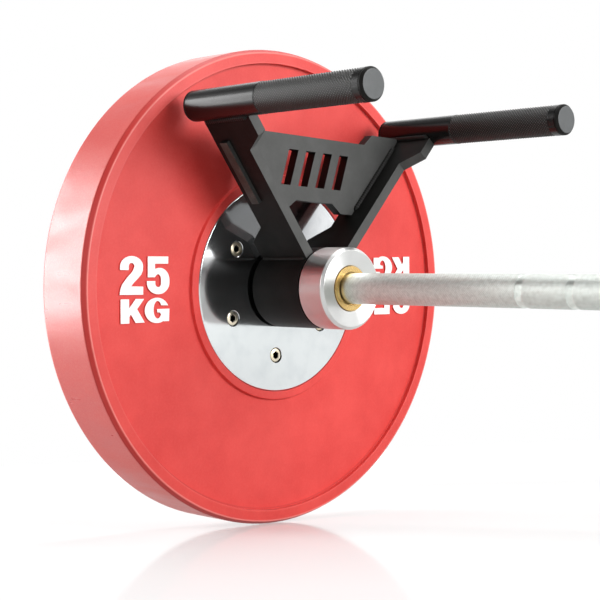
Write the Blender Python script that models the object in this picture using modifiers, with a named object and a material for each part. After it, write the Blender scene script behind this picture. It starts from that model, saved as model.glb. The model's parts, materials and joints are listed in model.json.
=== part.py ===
"""T-bar row set: a bar with revolving sleeves, one bumper plate and a two-grip row handle.

Everything on the bar is laid out in the bar's own frame: +X runs along the bar from the
loaded end towards the far end, and X = 0 is the face of the near collar that plates and the
handle stop against. The bar rests on the floor by the plate's lower front edge and by the far
sleeve's end, so one empty carries the whole set and tilts it. World units are metres, +Z up.
"""
import bmesh
import bpy
import math
from mathutils import Matrix

# Clearances
GAP = 0.0003
RUNNING_CLEARANCE = 0.0004
PLATE_CLEARANCE = 0.0004

# Bar
SHAFT_RADIUS = 0.014
COLLAR_SPACING = 1.310
COLLAR_THICKNESS = 0.030
COLLAR_RISE = 0.0125
COLLAR_CHAMFER = 0.0026
COLLAR_DISH = 0.0012
COLLAR_WALL = 0.010
SLEEVE_LENGTH = 0.415
SLEEVE_RADIUS = 0.025
SLEEVE_CHAMFER = 0.0015
BUSHING_WALL = 0.0033
BUSHING_LENGTH = 0.040
BUSHING_FLANGE_RISE = 0.0023
BUSHING_FLANGE_PROUD = 0.0008
WASHER_THICKNESS = 0.0015
RING_THICKNESS = 0.002
RING_GROOVE_DEPTH = 0.0015
RING_OPENING = 0.006
SHAFT_END_LAND = 0.003
END_CAP_FLANGE = 0.002
END_CAP_PLUG = 0.008
END_CAP_RECESS_RADIUS = 0.009
END_CAP_RECESS_DEPTH = 0.0015

# Plate
PLATE_RADIUS = 0.225
PLATE_THICKNESS = 0.066
RIM_CHAMFER_DEPTH = 0.0054
RIM_CHAMFER_RISE = 0.0027
LIP_WIDTH = 0.0107
FACE_RECESS = 0.0044
HUB_RING_WIDTH = 0.0075
HUB_RADIUS = 0.09875
HUB_RECESS = 0.0008
HUB_DISC_THICKNESS = 0.010
HUB_DISC_BEVEL = 0.0008
HUB_DISC_OVERLAP = 0.005
BORE_WALL = 0.0105
SCREW_INSET = 0.0342
SCREW_COUNT = 6
SCREW_PHASE = math.radians(28.5)
SCREW_HEAD_RADIUS = 0.0065
SCREW_HEAD_HEIGHT = 0.008
SCREW_SHANK_RADIUS = 0.004
SCREW_TIP_FROM_MIDDLE = 0.004
SCREW_SOCKET_WIDTH = 0.006
SCREW_SOCKET_DEPTH = 0.004
SCREW_HOLE_CLEARANCE = 0.0007
SCREW_HEAD_SUNK = 0.0004

# Handle
TUBE_LENGTH = 0.0617
TUBE_WALL = 0.007
LINER_PROUD_FRONT = 0.0012
LINER_PROUD_REAR = 0.0033
LINER_WALL = 0.0047
LINER_CHAMFER = 0.001
ARM_ANGLE = math.radians(38.4)
ARM_THICKNESS = 0.0096
ARM_NECK_WIDTH = 0.0397
ARM_INSET = 0.0005
ARM_FOOT_HEIGHT = 0.019
ARM_FOOT_SLOPE = 0.016
FLARE_REACH = 0.020
FLARE_START = 0.1536
FLARE_END = 0.167
GRIP_DISTANCE = 0.200
GRIP_RADIUS = 0.014
GRIP_WALL = 0.003
GRIP_LENGTH = 0.2213
GRIP_ROOT_SETBACK = 0.049
GRIP_CAP_THICKNESS = 0.004
GRIP_CAP_SPIGOT = 0.008
GRIP_CAP_CHAMFER = 0.0016
CROSS_THICKNESS = 0.0096
CROSS_SETBACK = 0.0205
CROSS_TOP = 0.1397
CROSS_BOTTOM = 0.071
CROSS_NOTCH_TOP = 0.080
CROSS_NOTCH_HALF = 0.023
CROSS_NOTCH_FOOT_HALF = 0.035
CROSS_EAR_HALF = 0.064
CROSS_EAR_RISE = 0.010
TAB_START = 0.100
TAB_END = 0.165
TAB_PROUD = 0.0035
SLOT_COUNT = 4
SLOT_PITCH = 0.0215
SLOT_WIDTH = 0.0115
SLOT_HEIGHT = 0.033
SLOT_LEAN = 0.009

# Roundness of the turned pieces: sides of a full turn
BAR_SIDES = 36
PLATE_SIDES = 72
SCREW_SIDES = 12
GRIP_SIDES = 28
SHARP_ANGLE = math.radians(35)

# Radii that follow from the pieces inside
SLEEVE_BORE_RADIUS = SHAFT_RADIUS + RUNNING_CLEARANCE + BUSHING_WALL + GAP
BUSHING_FLANGE_RADIUS = SLEEVE_BORE_RADIUS + BUSHING_FLANGE_RISE
COLLAR_RADIUS = SLEEVE_RADIUS + COLLAR_RISE
LINER_BORE_RADIUS = SLEEVE_RADIUS + RUNNING_CLEARANCE
TUBE_BORE_RADIUS = LINER_BORE_RADIUS + LINER_WALL + GAP
TUBE_RADIUS = TUBE_BORE_RADIUS + TUBE_WALL
SCREW_CIRCLE_RADIUS = HUB_RADIUS - SCREW_INSET

# Places along the bar, from the near collar's shoulder
LINER_FRONT = -GAP
TUBE_FRONT = LINER_FRONT - LINER_PROUD_FRONT
TUBE_REAR = TUBE_FRONT - TUBE_LENGTH
LINER_REAR = TUBE_REAR - LINER_PROUD_REAR
HUB_FRONT = LINER_REAR - GAP
PLATE_FRONT = HUB_FRONT + HUB_RECESS
PLATE_REAR = PLATE_FRONT - PLATE_THICKNESS
BAR_MIDDLE = COLLAR_THICKNESS + COLLAR_SPACING / 2

# The plate's lower front edge and the far sleeve's end stand on the floor
PLATE_TOUCH = PLATE_FRONT - RIM_CHAMFER_DEPTH
PLATE_TOUCH_RADIUS = PLATE_RADIUS * math.cos(math.pi / PLATE_SIDES)
FLAT = math.cos(math.pi / BAR_SIDES)
END_TOUCH = 2 * BAR_MIDDLE + SLEEVE_LENGTH - END_CAP_FLANGE - SLEEVE_CHAMFER - GAP
END_TOUCH_RADIUS = SLEEVE_RADIUS * FLAT
TILT = math.atan2(PLATE_TOUCH_RADIUS - END_TOUCH_RADIUS, END_TOUCH - PLATE_TOUCH)

NAME = "t_bar_row_set"


def clear_scene():
    for obj in list(bpy.data.objects):
        bpy.data.objects.remove(obj, do_unlink=True)
    for name in (NAME, "cutters"):
        old = bpy.data.collections.get(name)
        if old:
            bpy.data.collections.remove(old)


def new_collection(name):
    collection = bpy.data.collections.new(name)
    bpy.context.scene.collection.children.link(collection)
    return collection


def make_material(name, color, roughness, metallic):
    material = bpy.data.materials.new(name)
    material.use_nodes = True
    shader = material.node_tree.nodes["Principled BSDF"]
    shader.inputs["Base Color"].default_value = (*color, 1.0)
    shader.inputs["Roughness"].default_value = roughness
    shader.inputs["Metallic"].default_value = metallic
    return material


FINISHES = {
    "bare_steel": ((0.55, 0.54, 0.52), 0.38, 1.0),
    "chrome": ((0.80, 0.80, 0.80), 0.08, 1.0),
    "bronze": ((0.70, 0.48, 0.20), 0.30, 1.0),
    "mirror_steel": ((0.72, 0.73, 0.74), 0.06, 1.0),
    "red_rubber": ((0.70, 0.07, 0.06), 0.50, 0.0),
    "black_coating": ((0.02, 0.02, 0.02), 0.45, 0.0),
    "black_nylon": ((0.03, 0.03, 0.03), 0.60, 0.0),
    "screw_steel": ((0.62, 0.58, 0.50), 0.25, 1.0),
}


def finish(obj, finish_name):
    """Give the object its own material."""
    color, roughness, metallic = FINISHES[finish_name]
    obj.data.materials.clear()
    obj.data.materials.append(make_material(obj.name, color, roughness, metallic))


def add_object(name, mesh, collection, parent):
    obj = bpy.data.objects.new(name, mesh)
    collection.objects.link(obj)
    obj.parent = parent
    return obj


def add_empty(name, collection, parent, x=0.0):
    empty = bpy.data.objects.new(name, None)
    empty.empty_display_size = 0.05
    collection.objects.link(empty)
    empty.parent = parent
    empty.location.x = x
    return empty


def turned(name, profile, sides, collection, parent, x=0.0, closed=True):
    """Turn a profile of (radius, place along the bar) pairs about the bar's axis.

    The profile runs down its outer side, from the far end back, so that the faces point out.
    A closed profile makes a ring, an open one starts and ends on the axis. A flat of the many
    sides faces straight down, which is what the set stands on.
    """
    start = math.pi / sides
    outline = bpy.data.meshes.new(name + "_profile")
    points = [(r * math.cos(start), r * math.sin(start), z) for r, z in profile]
    edges = [(i, i + 1) for i in range(len(points) - 1)]
    if closed:
        edges.append((len(points) - 1, 0))
    outline.from_pydata(points, edges, [])
    guide = add_object(name + "_profile", outline, collection, None)
    screw = guide.modifiers.new("turn", "SCREW")
    screw.axis = "Z"
    screw.angle = 2 * math.pi
    screw.steps = sides
    screw.render_steps = sides
    screw.use_merge_vertices = True
    screw.merge_threshold = 0.00002
    mesh = as_mesh(guide)
    mesh.shade_smooth()
    mesh.set_sharp_from_angle(angle=SHARP_ANGLE)
    obj = add_object(name, mesh, collection, parent)
    obj.location.x = x
    obj.rotation_euler = (0.0, math.pi / 2, 0.0)
    return obj


def as_mesh(guide):
    """The mesh that a curve or a modified object makes; the object itself goes."""
    bpy.context.view_layer.update()
    evaluated = guide.evaluated_get(bpy.context.evaluated_depsgraph_get())
    mesh = bpy.data.meshes.new_from_object(evaluated)
    bpy.data.objects.remove(guide, do_unlink=True)
    return mesh


def mirrored(profile):
    """The same profile for a piece at the other end, facing the other way."""
    return [(r, -z) for r, z in reversed(profile)]


def flat_plate(name, outlines, thickness, collection, parent):
    """A flat piece from its outline, and any holes, as a filled curve made into a mesh."""
    curve = bpy.data.curves.new(name, "CURVE")
    curve.dimensions = "2D"
    curve.fill_mode = "BOTH"
    curve.extrude = thickness / 2
    for outline in outlines:
        spline = curve.splines.new("POLY")
        spline.points.add(len(outline) - 1)
        for point, (u, v) in zip(spline.points, outline):
            point.co = (u, v, 0.0, 1.0)
        spline.use_cyclic_u = True
    guide = bpy.data.objects.new(name + "_outline", curve)
    collection.objects.link(guide)
    mesh = as_mesh(guide)
    work = bmesh.new()
    work.from_mesh(mesh)
    bmesh.ops.remove_doubles(work, verts=work.verts, dist=0.00001)
    bmesh.ops.recalc_face_normals(work, faces=work.faces)
    work.to_mesh(mesh)
    work.free()
    return add_object(name, mesh, collection, parent)


def cylinder_mesh(name, radius, length, sides):
    """A cylinder along X, centred on its object's origin."""
    mesh = bpy.data.meshes.new(name)
    work = bmesh.new()
    bmesh.ops.create_cone(
        work, cap_ends=True, segments=sides, radius1=radius, radius2=radius, depth=length,
        matrix=Matrix.Rotation(math.pi / 2, 4, "Y") @ Matrix.Rotation(math.pi / sides, 4, "Z"))
    work.to_mesh(mesh)
    work.free()
    return mesh


def box_mesh(name, size_x, size_y, size_z):
    mesh = bpy.data.meshes.new(name)
    work = bmesh.new()
    bmesh.ops.create_cube(work, size=1.0, matrix=Matrix.Diagonal((size_x, size_y, size_z, 1.0)))
    work.to_mesh(mesh)
    work.free()
    return mesh


def as_cutter(obj):
    obj.hide_render = True
    obj.display_type = "WIRE"
    return obj


def cut(obj, cutter):
    modifier = obj.modifiers.new("cut_" + cutter.name, "BOOLEAN")
    modifier.operation = "DIFFERENCE"
    modifier.solver = "EXACT"
    modifier.object = cutter


def build_shaft(parts, bar):
    """One round bar from end to end, with a groove near each end for its retaining ring."""
    groove_radius = SHAFT_RADIUS - RING_GROOVE_DEPTH
    half_end = shaft_end_offset()
    land = half_end - SHAFT_END_LAND
    groove = land - RING_THICKNESS - 2 * GAP
    half = [(0.0, half_end), (groove_radius, half_end), (SHAFT_RADIUS, half_end - RING_GROOVE_DEPTH),
            (SHAFT_RADIUS, land), (groove_radius, land), (groove_radius, groove), (SHAFT_RADIUS, groove)]
    profile = half + mirrored(half)
    shaft = turned("shaft", profile, BAR_SIDES, parts, bar, x=BAR_MIDDLE, closed=False)
    finish(shaft, "bare_steel")


def shaft_end_offset():
    """How far the shaft's ends lie from the middle: just inside the end caps' plugs."""
    sleeve_end = COLLAR_SPACING / 2 + COLLAR_THICKNESS + SLEEVE_LENGTH
    return sleeve_end - END_CAP_FLANGE - END_CAP_PLUG - 2 * GAP


def build_sleeve(side, flip, parts, cutters, carrier):
    """A revolving sleeve with its collar, bushings, washer, retaining ring and end cap.

    Profiles are written for the near end, with the collar's shoulder at 0, the shaft's side
    at + and the loading side at -. The far end uses the same profiles facing the other way.
    """
    def piece(name, profile, finish_name, sides=BAR_SIDES, closed=True):
        shape = mirrored(profile) if flip else profile
        obj = turned(name + "_" + side, shape, sides, parts, carrier, closed=closed)
        finish(obj, finish_name)
        return obj

    tube_end = -SLEEVE_LENGTH + END_CAP_FLANGE + GAP
    tube_front = COLLAR_THICKNESS - COLLAR_WALL
    piece("sleeve", [
        (SLEEVE_BORE_RADIUS, tube_front), (SLEEVE_RADIUS, tube_front),
        (SLEEVE_RADIUS, tube_end + SLEEVE_CHAMFER), (SLEEVE_RADIUS - SLEEVE_CHAMFER, tube_end),
        (SLEEVE_BORE_RADIUS, tube_end)], "chrome")

    collar_bore = BUSHING_FLANGE_RADIUS + GAP
    face_radius = COLLAR_RADIUS - COLLAR_CHAMFER
    piece("collar", [
        (collar_bore, COLLAR_THICKNESS - COLLAR_DISH),
        (face_radius, COLLAR_THICKNESS),
        (COLLAR_RADIUS, COLLAR_THICKNESS - COLLAR_CHAMFER),
        (COLLAR_RADIUS, 0.0),
        (SLEEVE_RADIUS + GAP, 0.0),
        (SLEEVE_RADIUS + GAP, tube_front + GAP),
        (collar_bore, tube_front + GAP)], "chrome")

    bushing_bore = SHAFT_RADIUS + RUNNING_CLEARANCE
    bushing_outer = SLEEVE_BORE_RADIUS - GAP
    flange_back = tube_front + GAP
    flange_front = COLLAR_THICKNESS - COLLAR_DISH + BUSHING_FLANGE_PROUD
    piece("bushing_inner", [
        (bushing_bore, flange_front), (BUSHING_FLANGE_RADIUS, flange_front),
        (BUSHING_FLANGE_RADIUS, flange_back), (bushing_outer, flange_back),
        (bushing_outer, flange_back - BUSHING_LENGTH), (bushing_bore, flange_back - BUSHING_LENGTH)], "bronze")

    ring_back = COLLAR_THICKNESS + COLLAR_SPACING / 2 - (shaft_end_offset() - SHAFT_END_LAND) + GAP
    washer_back = ring_back + RING_THICKNESS + GAP
    bushing_back = washer_back + WASHER_THICKNESS + GAP
    piece("thrust_washer", [
        (bushing_bore, washer_back + WASHER_THICKNESS), (bushing_outer, washer_back + WASHER_THICKNESS),
        (bushing_outer, washer_back), (bushing_bore, washer_back)], "bare_steel")
    piece("bushing_outer", [
        (bushing_bore, bushing_back + BUSHING_LENGTH), (bushing_outer, bushing_back + BUSHING_LENGTH),
        (bushing_outer, bushing_back), (bushing_bore, bushing_back)], "bronze")

    ring_inner = SHAFT_RADIUS - RING_GROOVE_DEPTH + GAP
    ring_outer = SLEEVE_BORE_RADIUS - 2 * GAP
    ring = piece("retaining_ring", [
        (ring_inner, ring_back + RING_THICKNESS), (ring_outer, ring_back + RING_THICKNESS),
        (ring_outer, ring_back), (ring_inner, ring_back)], "bare_steel")
    opening = as_cutter(add_object(
        "ring_opening_" + side,
        box_mesh("ring_opening_" + side, 4 * RING_THICKNESS, RING_OPENING, 2 * ring_outer), cutters, carrier))
    along = ring_back + RING_THICKNESS / 2
    opening.location = (-along if flip else along, 0.0, ring_outer)
    cut(ring, opening)

    cap_outer = SLEEVE_RADIUS - SLEEVE_CHAMFER
    plug_front = -SLEEVE_LENGTH + END_CAP_FLANGE + END_CAP_PLUG
    piece("end_cap", [
        (0.0, plug_front), (SLEEVE_BORE_RADIUS - GAP, plug_front),
        (SLEEVE_BORE_RADIUS - GAP, -SLEEVE_LENGTH + END_CAP_FLANGE),
        (cap_outer, -SLEEVE_LENGTH + END_CAP_FLANGE), (cap_outer, -SLEEVE_LENGTH),
        (END_CAP_RECESS_RADIUS, -SLEEVE_LENGTH),
        (END_CAP_RECESS_RADIUS, -SLEEVE_LENGTH + END_CAP_RECESS_DEPTH),
        (0.0, -SLEEVE_LENGTH + END_CAP_RECESS_DEPTH)], "chrome", closed=False)


def screw_places():
    """Angles of the hub screws round the bar, from +Y towards +Z."""
    return [SCREW_PHASE + 2 * math.pi * i / SCREW_COUNT for i in range(SCREW_COUNT)]


def build_plate(parts, cutters, carrier):
    """The bumper plate: rubber body, steel core, two polished discs, bore bush and screws."""
    half = PLATE_THICKNESS / 2
    rim = PLATE_RADIUS - RIM_CHAMFER_RISE
    lip = rim - LIP_WIDTH
    ring = HUB_RADIUS + GAP + HUB_RING_WIDTH
    face = half - FACE_RECESS
    disc_front = half - HUB_RECESS
    disc_back = disc_front - HUB_DISC_THICKNESS
    core_half = disc_back - GAP
    core_radius = HUB_RADIUS - HUB_DISC_OVERLAP
    side = [
        (core_radius + GAP, core_half), (HUB_RADIUS + GAP, core_half), (HUB_RADIUS + GAP, disc_front),
        (ring, disc_front), (ring, face), (lip, face), (lip, half), (rim, half),
        (PLATE_RADIUS, half - RIM_CHAMFER_DEPTH)]
    body = turned("plate_rubber", side + mirrored(side), PLATE_SIDES, parts, carrier)
    finish(body, "red_rubber")

    bush_inner = SLEEVE_RADIUS + PLATE_CLEARANCE
    bush_outer = bush_inner + BORE_WALL
    bush = turned("bore_bush", [
        (bush_inner, disc_front), (bush_outer, disc_front), (bush_outer, -disc_front),
        (bush_inner, -disc_front)], BAR_SIDES, parts, carrier)
    finish(bush, "mirror_steel")

    core = turned("hub_core", [
        (bush_outer + GAP, core_half), (core_radius, core_half), (core_radius, -core_half),
        (bush_outer + GAP, -core_half)], PLATE_SIDES, parts, carrier)
    finish(core, "bare_steel")

    edge = HUB_DISC_BEVEL
    disc = [
        (bush_outer + GAP, disc_front), (HUB_RADIUS - edge, disc_front), (HUB_RADIUS, disc_front - edge),
        (HUB_RADIUS, disc_back), (bush_outer + GAP, disc_back)]
    for end, flip in (("front", False), ("rear", True)):
        hub_disc = turned("hub_disc_" + end, mirrored(disc) if flip else disc, PLATE_SIDES, parts, carrier)
        finish(hub_disc, "mirror_steel")
        sign = -1 if flip else 1
        for number, angle in enumerate(screw_places(), 1):
            build_screw(number, end, sign, angle, disc_front, hub_disc, core, parts, cutters, carrier)


def build_screw(number, end, sign, angle, disc_front, hub_disc, core, parts, cutters, carrier):
    """A socket cap screw, sunk in its disc and threaded into the core."""
    place = (0.0, SCREW_CIRCLE_RADIUS * math.cos(angle), SCREW_CIRCLE_RADIUS * math.sin(angle))
    head_top = disc_front - SCREW_HEAD_SUNK
    head_foot = head_top - SCREW_HEAD_HEIGHT
    tip = SCREW_TIP_FROM_MIDDLE
    profile = [(0.0, head_top), (SCREW_HEAD_RADIUS, head_top), (SCREW_HEAD_RADIUS, head_foot),
               (SCREW_SHANK_RADIUS, head_foot), (SCREW_SHANK_RADIUS, tip), (0.0, tip)]
    name = "hub_screw_" + end + "_" + str(number)
    screw = turned(name, profile if sign > 0 else mirrored(profile), SCREW_SIDES, parts, carrier, closed=False)
    screw.location = place
    finish(screw, "screw_steel")

    socket_mesh = cylinder_mesh(name + "_socket", SCREW_SOCKET_WIDTH / math.sqrt(3), 2 * SCREW_SOCKET_DEPTH, 6)
    socket = as_cutter(add_object(name + "_socket", socket_mesh, cutters, carrier))
    socket.location = (sign * head_top, place[1], place[2])
    cut(screw, socket)

    head_length = 2 * (disc_front - head_foot + GAP)
    pocket_mesh = cylinder_mesh(name + "_pocket", SCREW_HEAD_RADIUS + SCREW_HOLE_CLEARANCE, head_length, SCREW_SIDES)
    pocket = as_cutter(add_object(name + "_pocket", pocket_mesh, cutters, carrier))
    pocket.location = (sign * disc_front, place[1], place[2])
    cut(hub_disc, pocket)

    hole_length = disc_front - tip + 2 * GAP
    hole_mesh = cylinder_mesh(name + "_hole", SCREW_SHANK_RADIUS + GAP, hole_length, SCREW_SIDES)
    hole = as_cutter(add_object(name + "_hole", hole_mesh, cutters, carrier))
    hole.location = (sign * (disc_front + GAP - hole_length / 2), place[1], place[2])
    cut(hub_disc, hole)
    cut(core, hole)


def arm_outline():
    """One arm seen square on: along the bar, and out from the bar's axis."""
    front = TUBE_FRONT - ARM_INSET
    rear = TUBE_REAR + ARM_INSET
    neck = front - ARM_NECK_WIDTH
    root = TUBE_RADIUS / 2
    foot = TUBE_RADIUS + ARM_FOOT_HEIGHT
    return [
        (rear, root), (front, root), (front, FLARE_START), (front + FLARE_REACH, FLARE_END),
        (front + FLARE_REACH, GRIP_DISTANCE), (neck, GRIP_DISTANCE), (neck, foot + ARM_FOOT_SLOPE),
        (rear, foot)]


def cross_outline():
    """The cross plate seen along the bar: ears above, a notch below and a tab through each arm."""
    sine, cosine = math.sin(ARM_ANGLE), math.cos(ARM_ANGLE)
    inner = ARM_THICKNESS / 2 + GAP
    outer = ARM_THICKNESS / 2 + TAB_PROUD
    ear_top = CROSS_TOP + CROSS_EAR_RISE

    def beside_arm(height, out):
        """A point at a distance up the arm, and out from the arm's middle plane."""
        return (height * sine + out * cosine, height * cosine - out * sine)

    def on_inner_face(level):
        return beside_arm((level - inner * sine) / cosine, -inner)

    right = [
        (CROSS_NOTCH_HALF, CROSS_NOTCH_TOP), (CROSS_NOTCH_FOOT_HALF, CROSS_BOTTOM),
        on_inner_face(CROSS_BOTTOM), beside_arm(TAB_START, -inner), beside_arm(TAB_START, outer),
        beside_arm(TAB_END, outer), beside_arm(TAB_END, -inner), on_inner_face(ear_top),
        (CROSS_EAR_HALF + CROSS_EAR_RISE, ear_top), (CROSS_EAR_HALF, CROSS_TOP)]
    left = [(-y, z) for y, z in reversed(right)]
    return right + left


def slot_outline(index):
    """A plain slanted slot, one of a row across the cross plate."""
    centre = (index - (SLOT_COUNT - 1) / 2) * SLOT_PITCH
    middle = (CROSS_NOTCH_TOP + CROSS_TOP) / 2
    half = SLOT_WIDTH / 2
    low = middle - SLOT_HEIGHT / 2
    high = middle + SLOT_HEIGHT / 2
    lean = SLOT_LEAN / 2
    return [(centre - half - lean, low), (centre + half - lean, low),
            (centre + half + lean, high), (centre - half + lean, high)]


def build_handle(parts, cutters, carrier):
    """The row handle: tube with liner, two arms, cross plate and two capped grips."""
    tube = turned("handle_tube", [
        (TUBE_BORE_RADIUS, TUBE_FRONT), (TUBE_RADIUS, TUBE_FRONT), (TUBE_RADIUS, TUBE_REAR),
        (TUBE_BORE_RADIUS, TUBE_REAR)], BAR_SIDES, parts, carrier)
    finish(tube, "black_coating")
    liner_outer = TUBE_BORE_RADIUS - GAP
    liner = turned("handle_liner", [
        (LINER_BORE_RADIUS + LINER_CHAMFER, LINER_FRONT), (liner_outer, LINER_FRONT), (liner_outer, LINER_REAR),
        (LINER_BORE_RADIUS + LINER_CHAMFER, LINER_REAR), (LINER_BORE_RADIUS, LINER_REAR + LINER_CHAMFER),
        (LINER_BORE_RADIUS, LINER_FRONT - LINER_CHAMFER)], BAR_SIDES, parts, carrier)
    finish(liner, "black_nylon")

    tube_cut = as_cutter(add_object(
        "tube_cut", cylinder_mesh("tube_cut", TUBE_RADIUS + GAP, 3 * TUBE_LENGTH, BAR_SIDES), cutters, carrier))
    tube_cut.location.x = TUBE_REAR + TUBE_LENGTH / 2

    cross_middle = TUBE_FRONT - ARM_INSET - CROSS_SETBACK - CROSS_THICKNESS / 2
    cross = flat_plate(
        "cross_plate", [cross_outline()] + [slot_outline(i) for i in range(SLOT_COUNT)],
        CROSS_THICKNESS, parts, carrier)
    cross.rotation_euler = (math.pi / 2, 0.0, math.pi / 2)
    cross.location.x = cross_middle
    finish(cross, "black_coating")

    for side, sign in (("left", -1), ("right", 1)):
        arm = flat_plate("arm_" + side, [arm_outline()], ARM_THICKNESS, parts, carrier)
        arm.rotation_euler = (math.pi / 2 - sign * ARM_ANGLE, 0.0, 0.0)
        finish(arm, "black_coating")
        cut(arm, tube_cut)
        slot_size = (CROSS_THICKNESS + 2 * GAP, TAB_END - TAB_START + 2 * GAP, 2 * ARM_THICKNESS)
        slot = as_cutter(add_object("tab_slot_" + side, box_mesh("tab_slot_" + side, *slot_size), cutters, carrier))
        along = (TAB_START + TAB_END) / 2
        slot.location = (cross_middle, sign * along * math.sin(ARM_ANGLE), along * math.cos(ARM_ANGLE))
        slot.rotation_euler = arm.rotation_euler
        cut(arm, slot)
        build_grip(side, sign, arm, cross, parts, cutters, carrier)


def build_grip(side, sign, arm, cross, parts, cutters, carrier):
    """A grip tube parallel to the bar, on top of its arm, with a cap in each end."""
    place = (0.0, sign * GRIP_DISTANCE * math.sin(ARM_ANGLE), GRIP_DISTANCE * math.cos(ARM_ANGLE))
    root = TUBE_FRONT - ARM_INSET - GRIP_ROOT_SETBACK
    tip = root + GRIP_LENGTH
    bore = GRIP_RADIUS - GRIP_WALL
    tube_root = root + GRIP_CAP_THICKNESS + GAP
    tube_tip = tip - GRIP_CAP_THICKNESS - GAP
    grip = turned("grip_" + side, [
        (bore, tube_tip), (GRIP_RADIUS, tube_tip), (GRIP_RADIUS, tube_root), (bore, tube_root)],
        GRIP_SIDES, parts, carrier)
    finish(grip, "black_coating")
    cap = [
        (0.0, 0.0), (GRIP_RADIUS - GRIP_CAP_CHAMFER, 0.0), (GRIP_RADIUS, -GRIP_CAP_CHAMFER),
        (GRIP_RADIUS, -GRIP_CAP_THICKNESS), (bore - GAP, -GRIP_CAP_THICKNESS),
        (bore - GAP, -GRIP_CAP_THICKNESS - GRIP_CAP_SPIGOT), (0.0, -GRIP_CAP_THICKNESS - GRIP_CAP_SPIGOT)]
    tip_cap = turned("grip_tip_cap_" + side, cap, GRIP_SIDES, parts, carrier, x=tip, closed=False)
    root_cap = turned("grip_root_cap_" + side, mirrored(cap), GRIP_SIDES, parts, carrier, x=root, closed=False)
    for obj in (grip, tip_cap, root_cap):
        obj.location.y = place[1]
        obj.location.z = place[2]
    finish(tip_cap, "black_coating")
    finish(root_cap, "black_coating")

    name = "grip_cut_" + side
    grip_mesh = cylinder_mesh(name, GRIP_RADIUS + GAP, GRIP_LENGTH + 2 * GAP, GRIP_SIDES)
    grip_cut = as_cutter(add_object(name, grip_mesh, cutters, carrier))
    grip_cut.location = (root + GRIP_LENGTH / 2, place[1], place[2])
    cut(arm, grip_cut)
    cut(cross, grip_cut)


def bar_origin():
    """Where the near collar's shoulder lies, so the set stands on Z = 0 centred over the origin."""
    height = PLATE_TOUCH_RADIUS * math.cos(TILT) + PLATE_TOUCH * math.sin(TILT)
    return (-BAR_MIDDLE * math.cos(TILT), 0.0, height)


def main():
    clear_scene()
    parts = new_collection(NAME)
    cutters = new_collection("cutters")
    bar = add_empty("bar_axis", parts, None)
    bar.location = bar_origin()
    bar.rotation_euler = (0.0, TILT, 0.0)
    near = add_empty("near_sleeve_axis", parts, bar)
    far = add_empty("far_sleeve_axis", parts, bar, x=2 * BAR_MIDDLE)
    plate = add_empty("plate_axis", parts, near, x=(PLATE_FRONT + PLATE_REAR) / 2)
    handle = add_empty("handle_axis", parts, near)
    build_shaft(parts, bar)
    build_sleeve("near", False, parts, cutters, near)
    build_sleeve("far", True, parts, cutters, far)
    build_plate(parts, cutters, plate)
    build_handle(parts, cutters, handle)


main()
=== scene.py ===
# %% [markdown]
# # A rowing set: long bar, bumper plate and two-grip handle
#
# The real object is a weightlifting bar whose ends turn on bearings. A red 25 kg plate sits on
# one end, and between the plate and the bar's collar a black welded handle turns freely. The far
# end of the bar stays on the floor while the user pulls on the two grips.
#
# This lesson dresses a finished engineering model. Its solids give every size and every moving body, so
# nothing here is fitted by eye. We load that frame first, with a helper that measures the box round
# everything shown.

# %% Load the frame
import json
import math

import bmesh
import bpy
from mathutils import Matrix, Vector


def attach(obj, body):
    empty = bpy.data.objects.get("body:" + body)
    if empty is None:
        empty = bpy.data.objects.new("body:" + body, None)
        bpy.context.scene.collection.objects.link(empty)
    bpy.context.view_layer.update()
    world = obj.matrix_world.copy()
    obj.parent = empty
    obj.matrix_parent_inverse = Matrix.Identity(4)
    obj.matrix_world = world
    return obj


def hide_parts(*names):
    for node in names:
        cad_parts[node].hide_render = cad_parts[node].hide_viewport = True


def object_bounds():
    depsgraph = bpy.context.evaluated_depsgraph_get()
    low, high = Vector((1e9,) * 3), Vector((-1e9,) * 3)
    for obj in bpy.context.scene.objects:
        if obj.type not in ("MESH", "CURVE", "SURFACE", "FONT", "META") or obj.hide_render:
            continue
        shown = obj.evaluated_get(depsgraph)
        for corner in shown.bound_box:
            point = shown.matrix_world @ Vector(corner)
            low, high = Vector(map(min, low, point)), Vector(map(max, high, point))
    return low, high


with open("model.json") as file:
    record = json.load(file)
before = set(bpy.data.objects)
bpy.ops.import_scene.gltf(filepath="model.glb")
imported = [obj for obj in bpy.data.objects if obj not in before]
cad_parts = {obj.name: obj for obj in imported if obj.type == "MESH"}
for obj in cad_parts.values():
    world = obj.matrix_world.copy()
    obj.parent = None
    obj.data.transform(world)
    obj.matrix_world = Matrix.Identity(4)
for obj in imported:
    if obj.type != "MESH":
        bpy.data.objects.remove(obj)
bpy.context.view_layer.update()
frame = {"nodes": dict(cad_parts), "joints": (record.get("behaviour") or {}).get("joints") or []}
nodes = frame["nodes"]

# %% [markdown]
# ## The camera
#
# The photograph was taken from low down, close to the floor, with a long lens. The camera's
# place was found by matching the plate, collar and grips of the model to their outlines, so here
# it is only written down. A long lens keeps the plate nearly as wide as it really is.

# %% Camera
CAMERA_PLACE = Vector((0.2728, -0.9392, 0.0919))
CAMERA_FORWARD = Vector((-0.724, 0.685, 0.085)).normalized()
CAMERA_RIGHT = Vector((0.684, 0.728, -0.042))
LENS_MM = 87.71


def new_object(name, data):
    """An object in the scene that holds a camera, lamp or mesh."""
    made = bpy.data.objects.new(name, data)
    bpy.context.scene.collection.objects.link(made)
    return made


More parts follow.
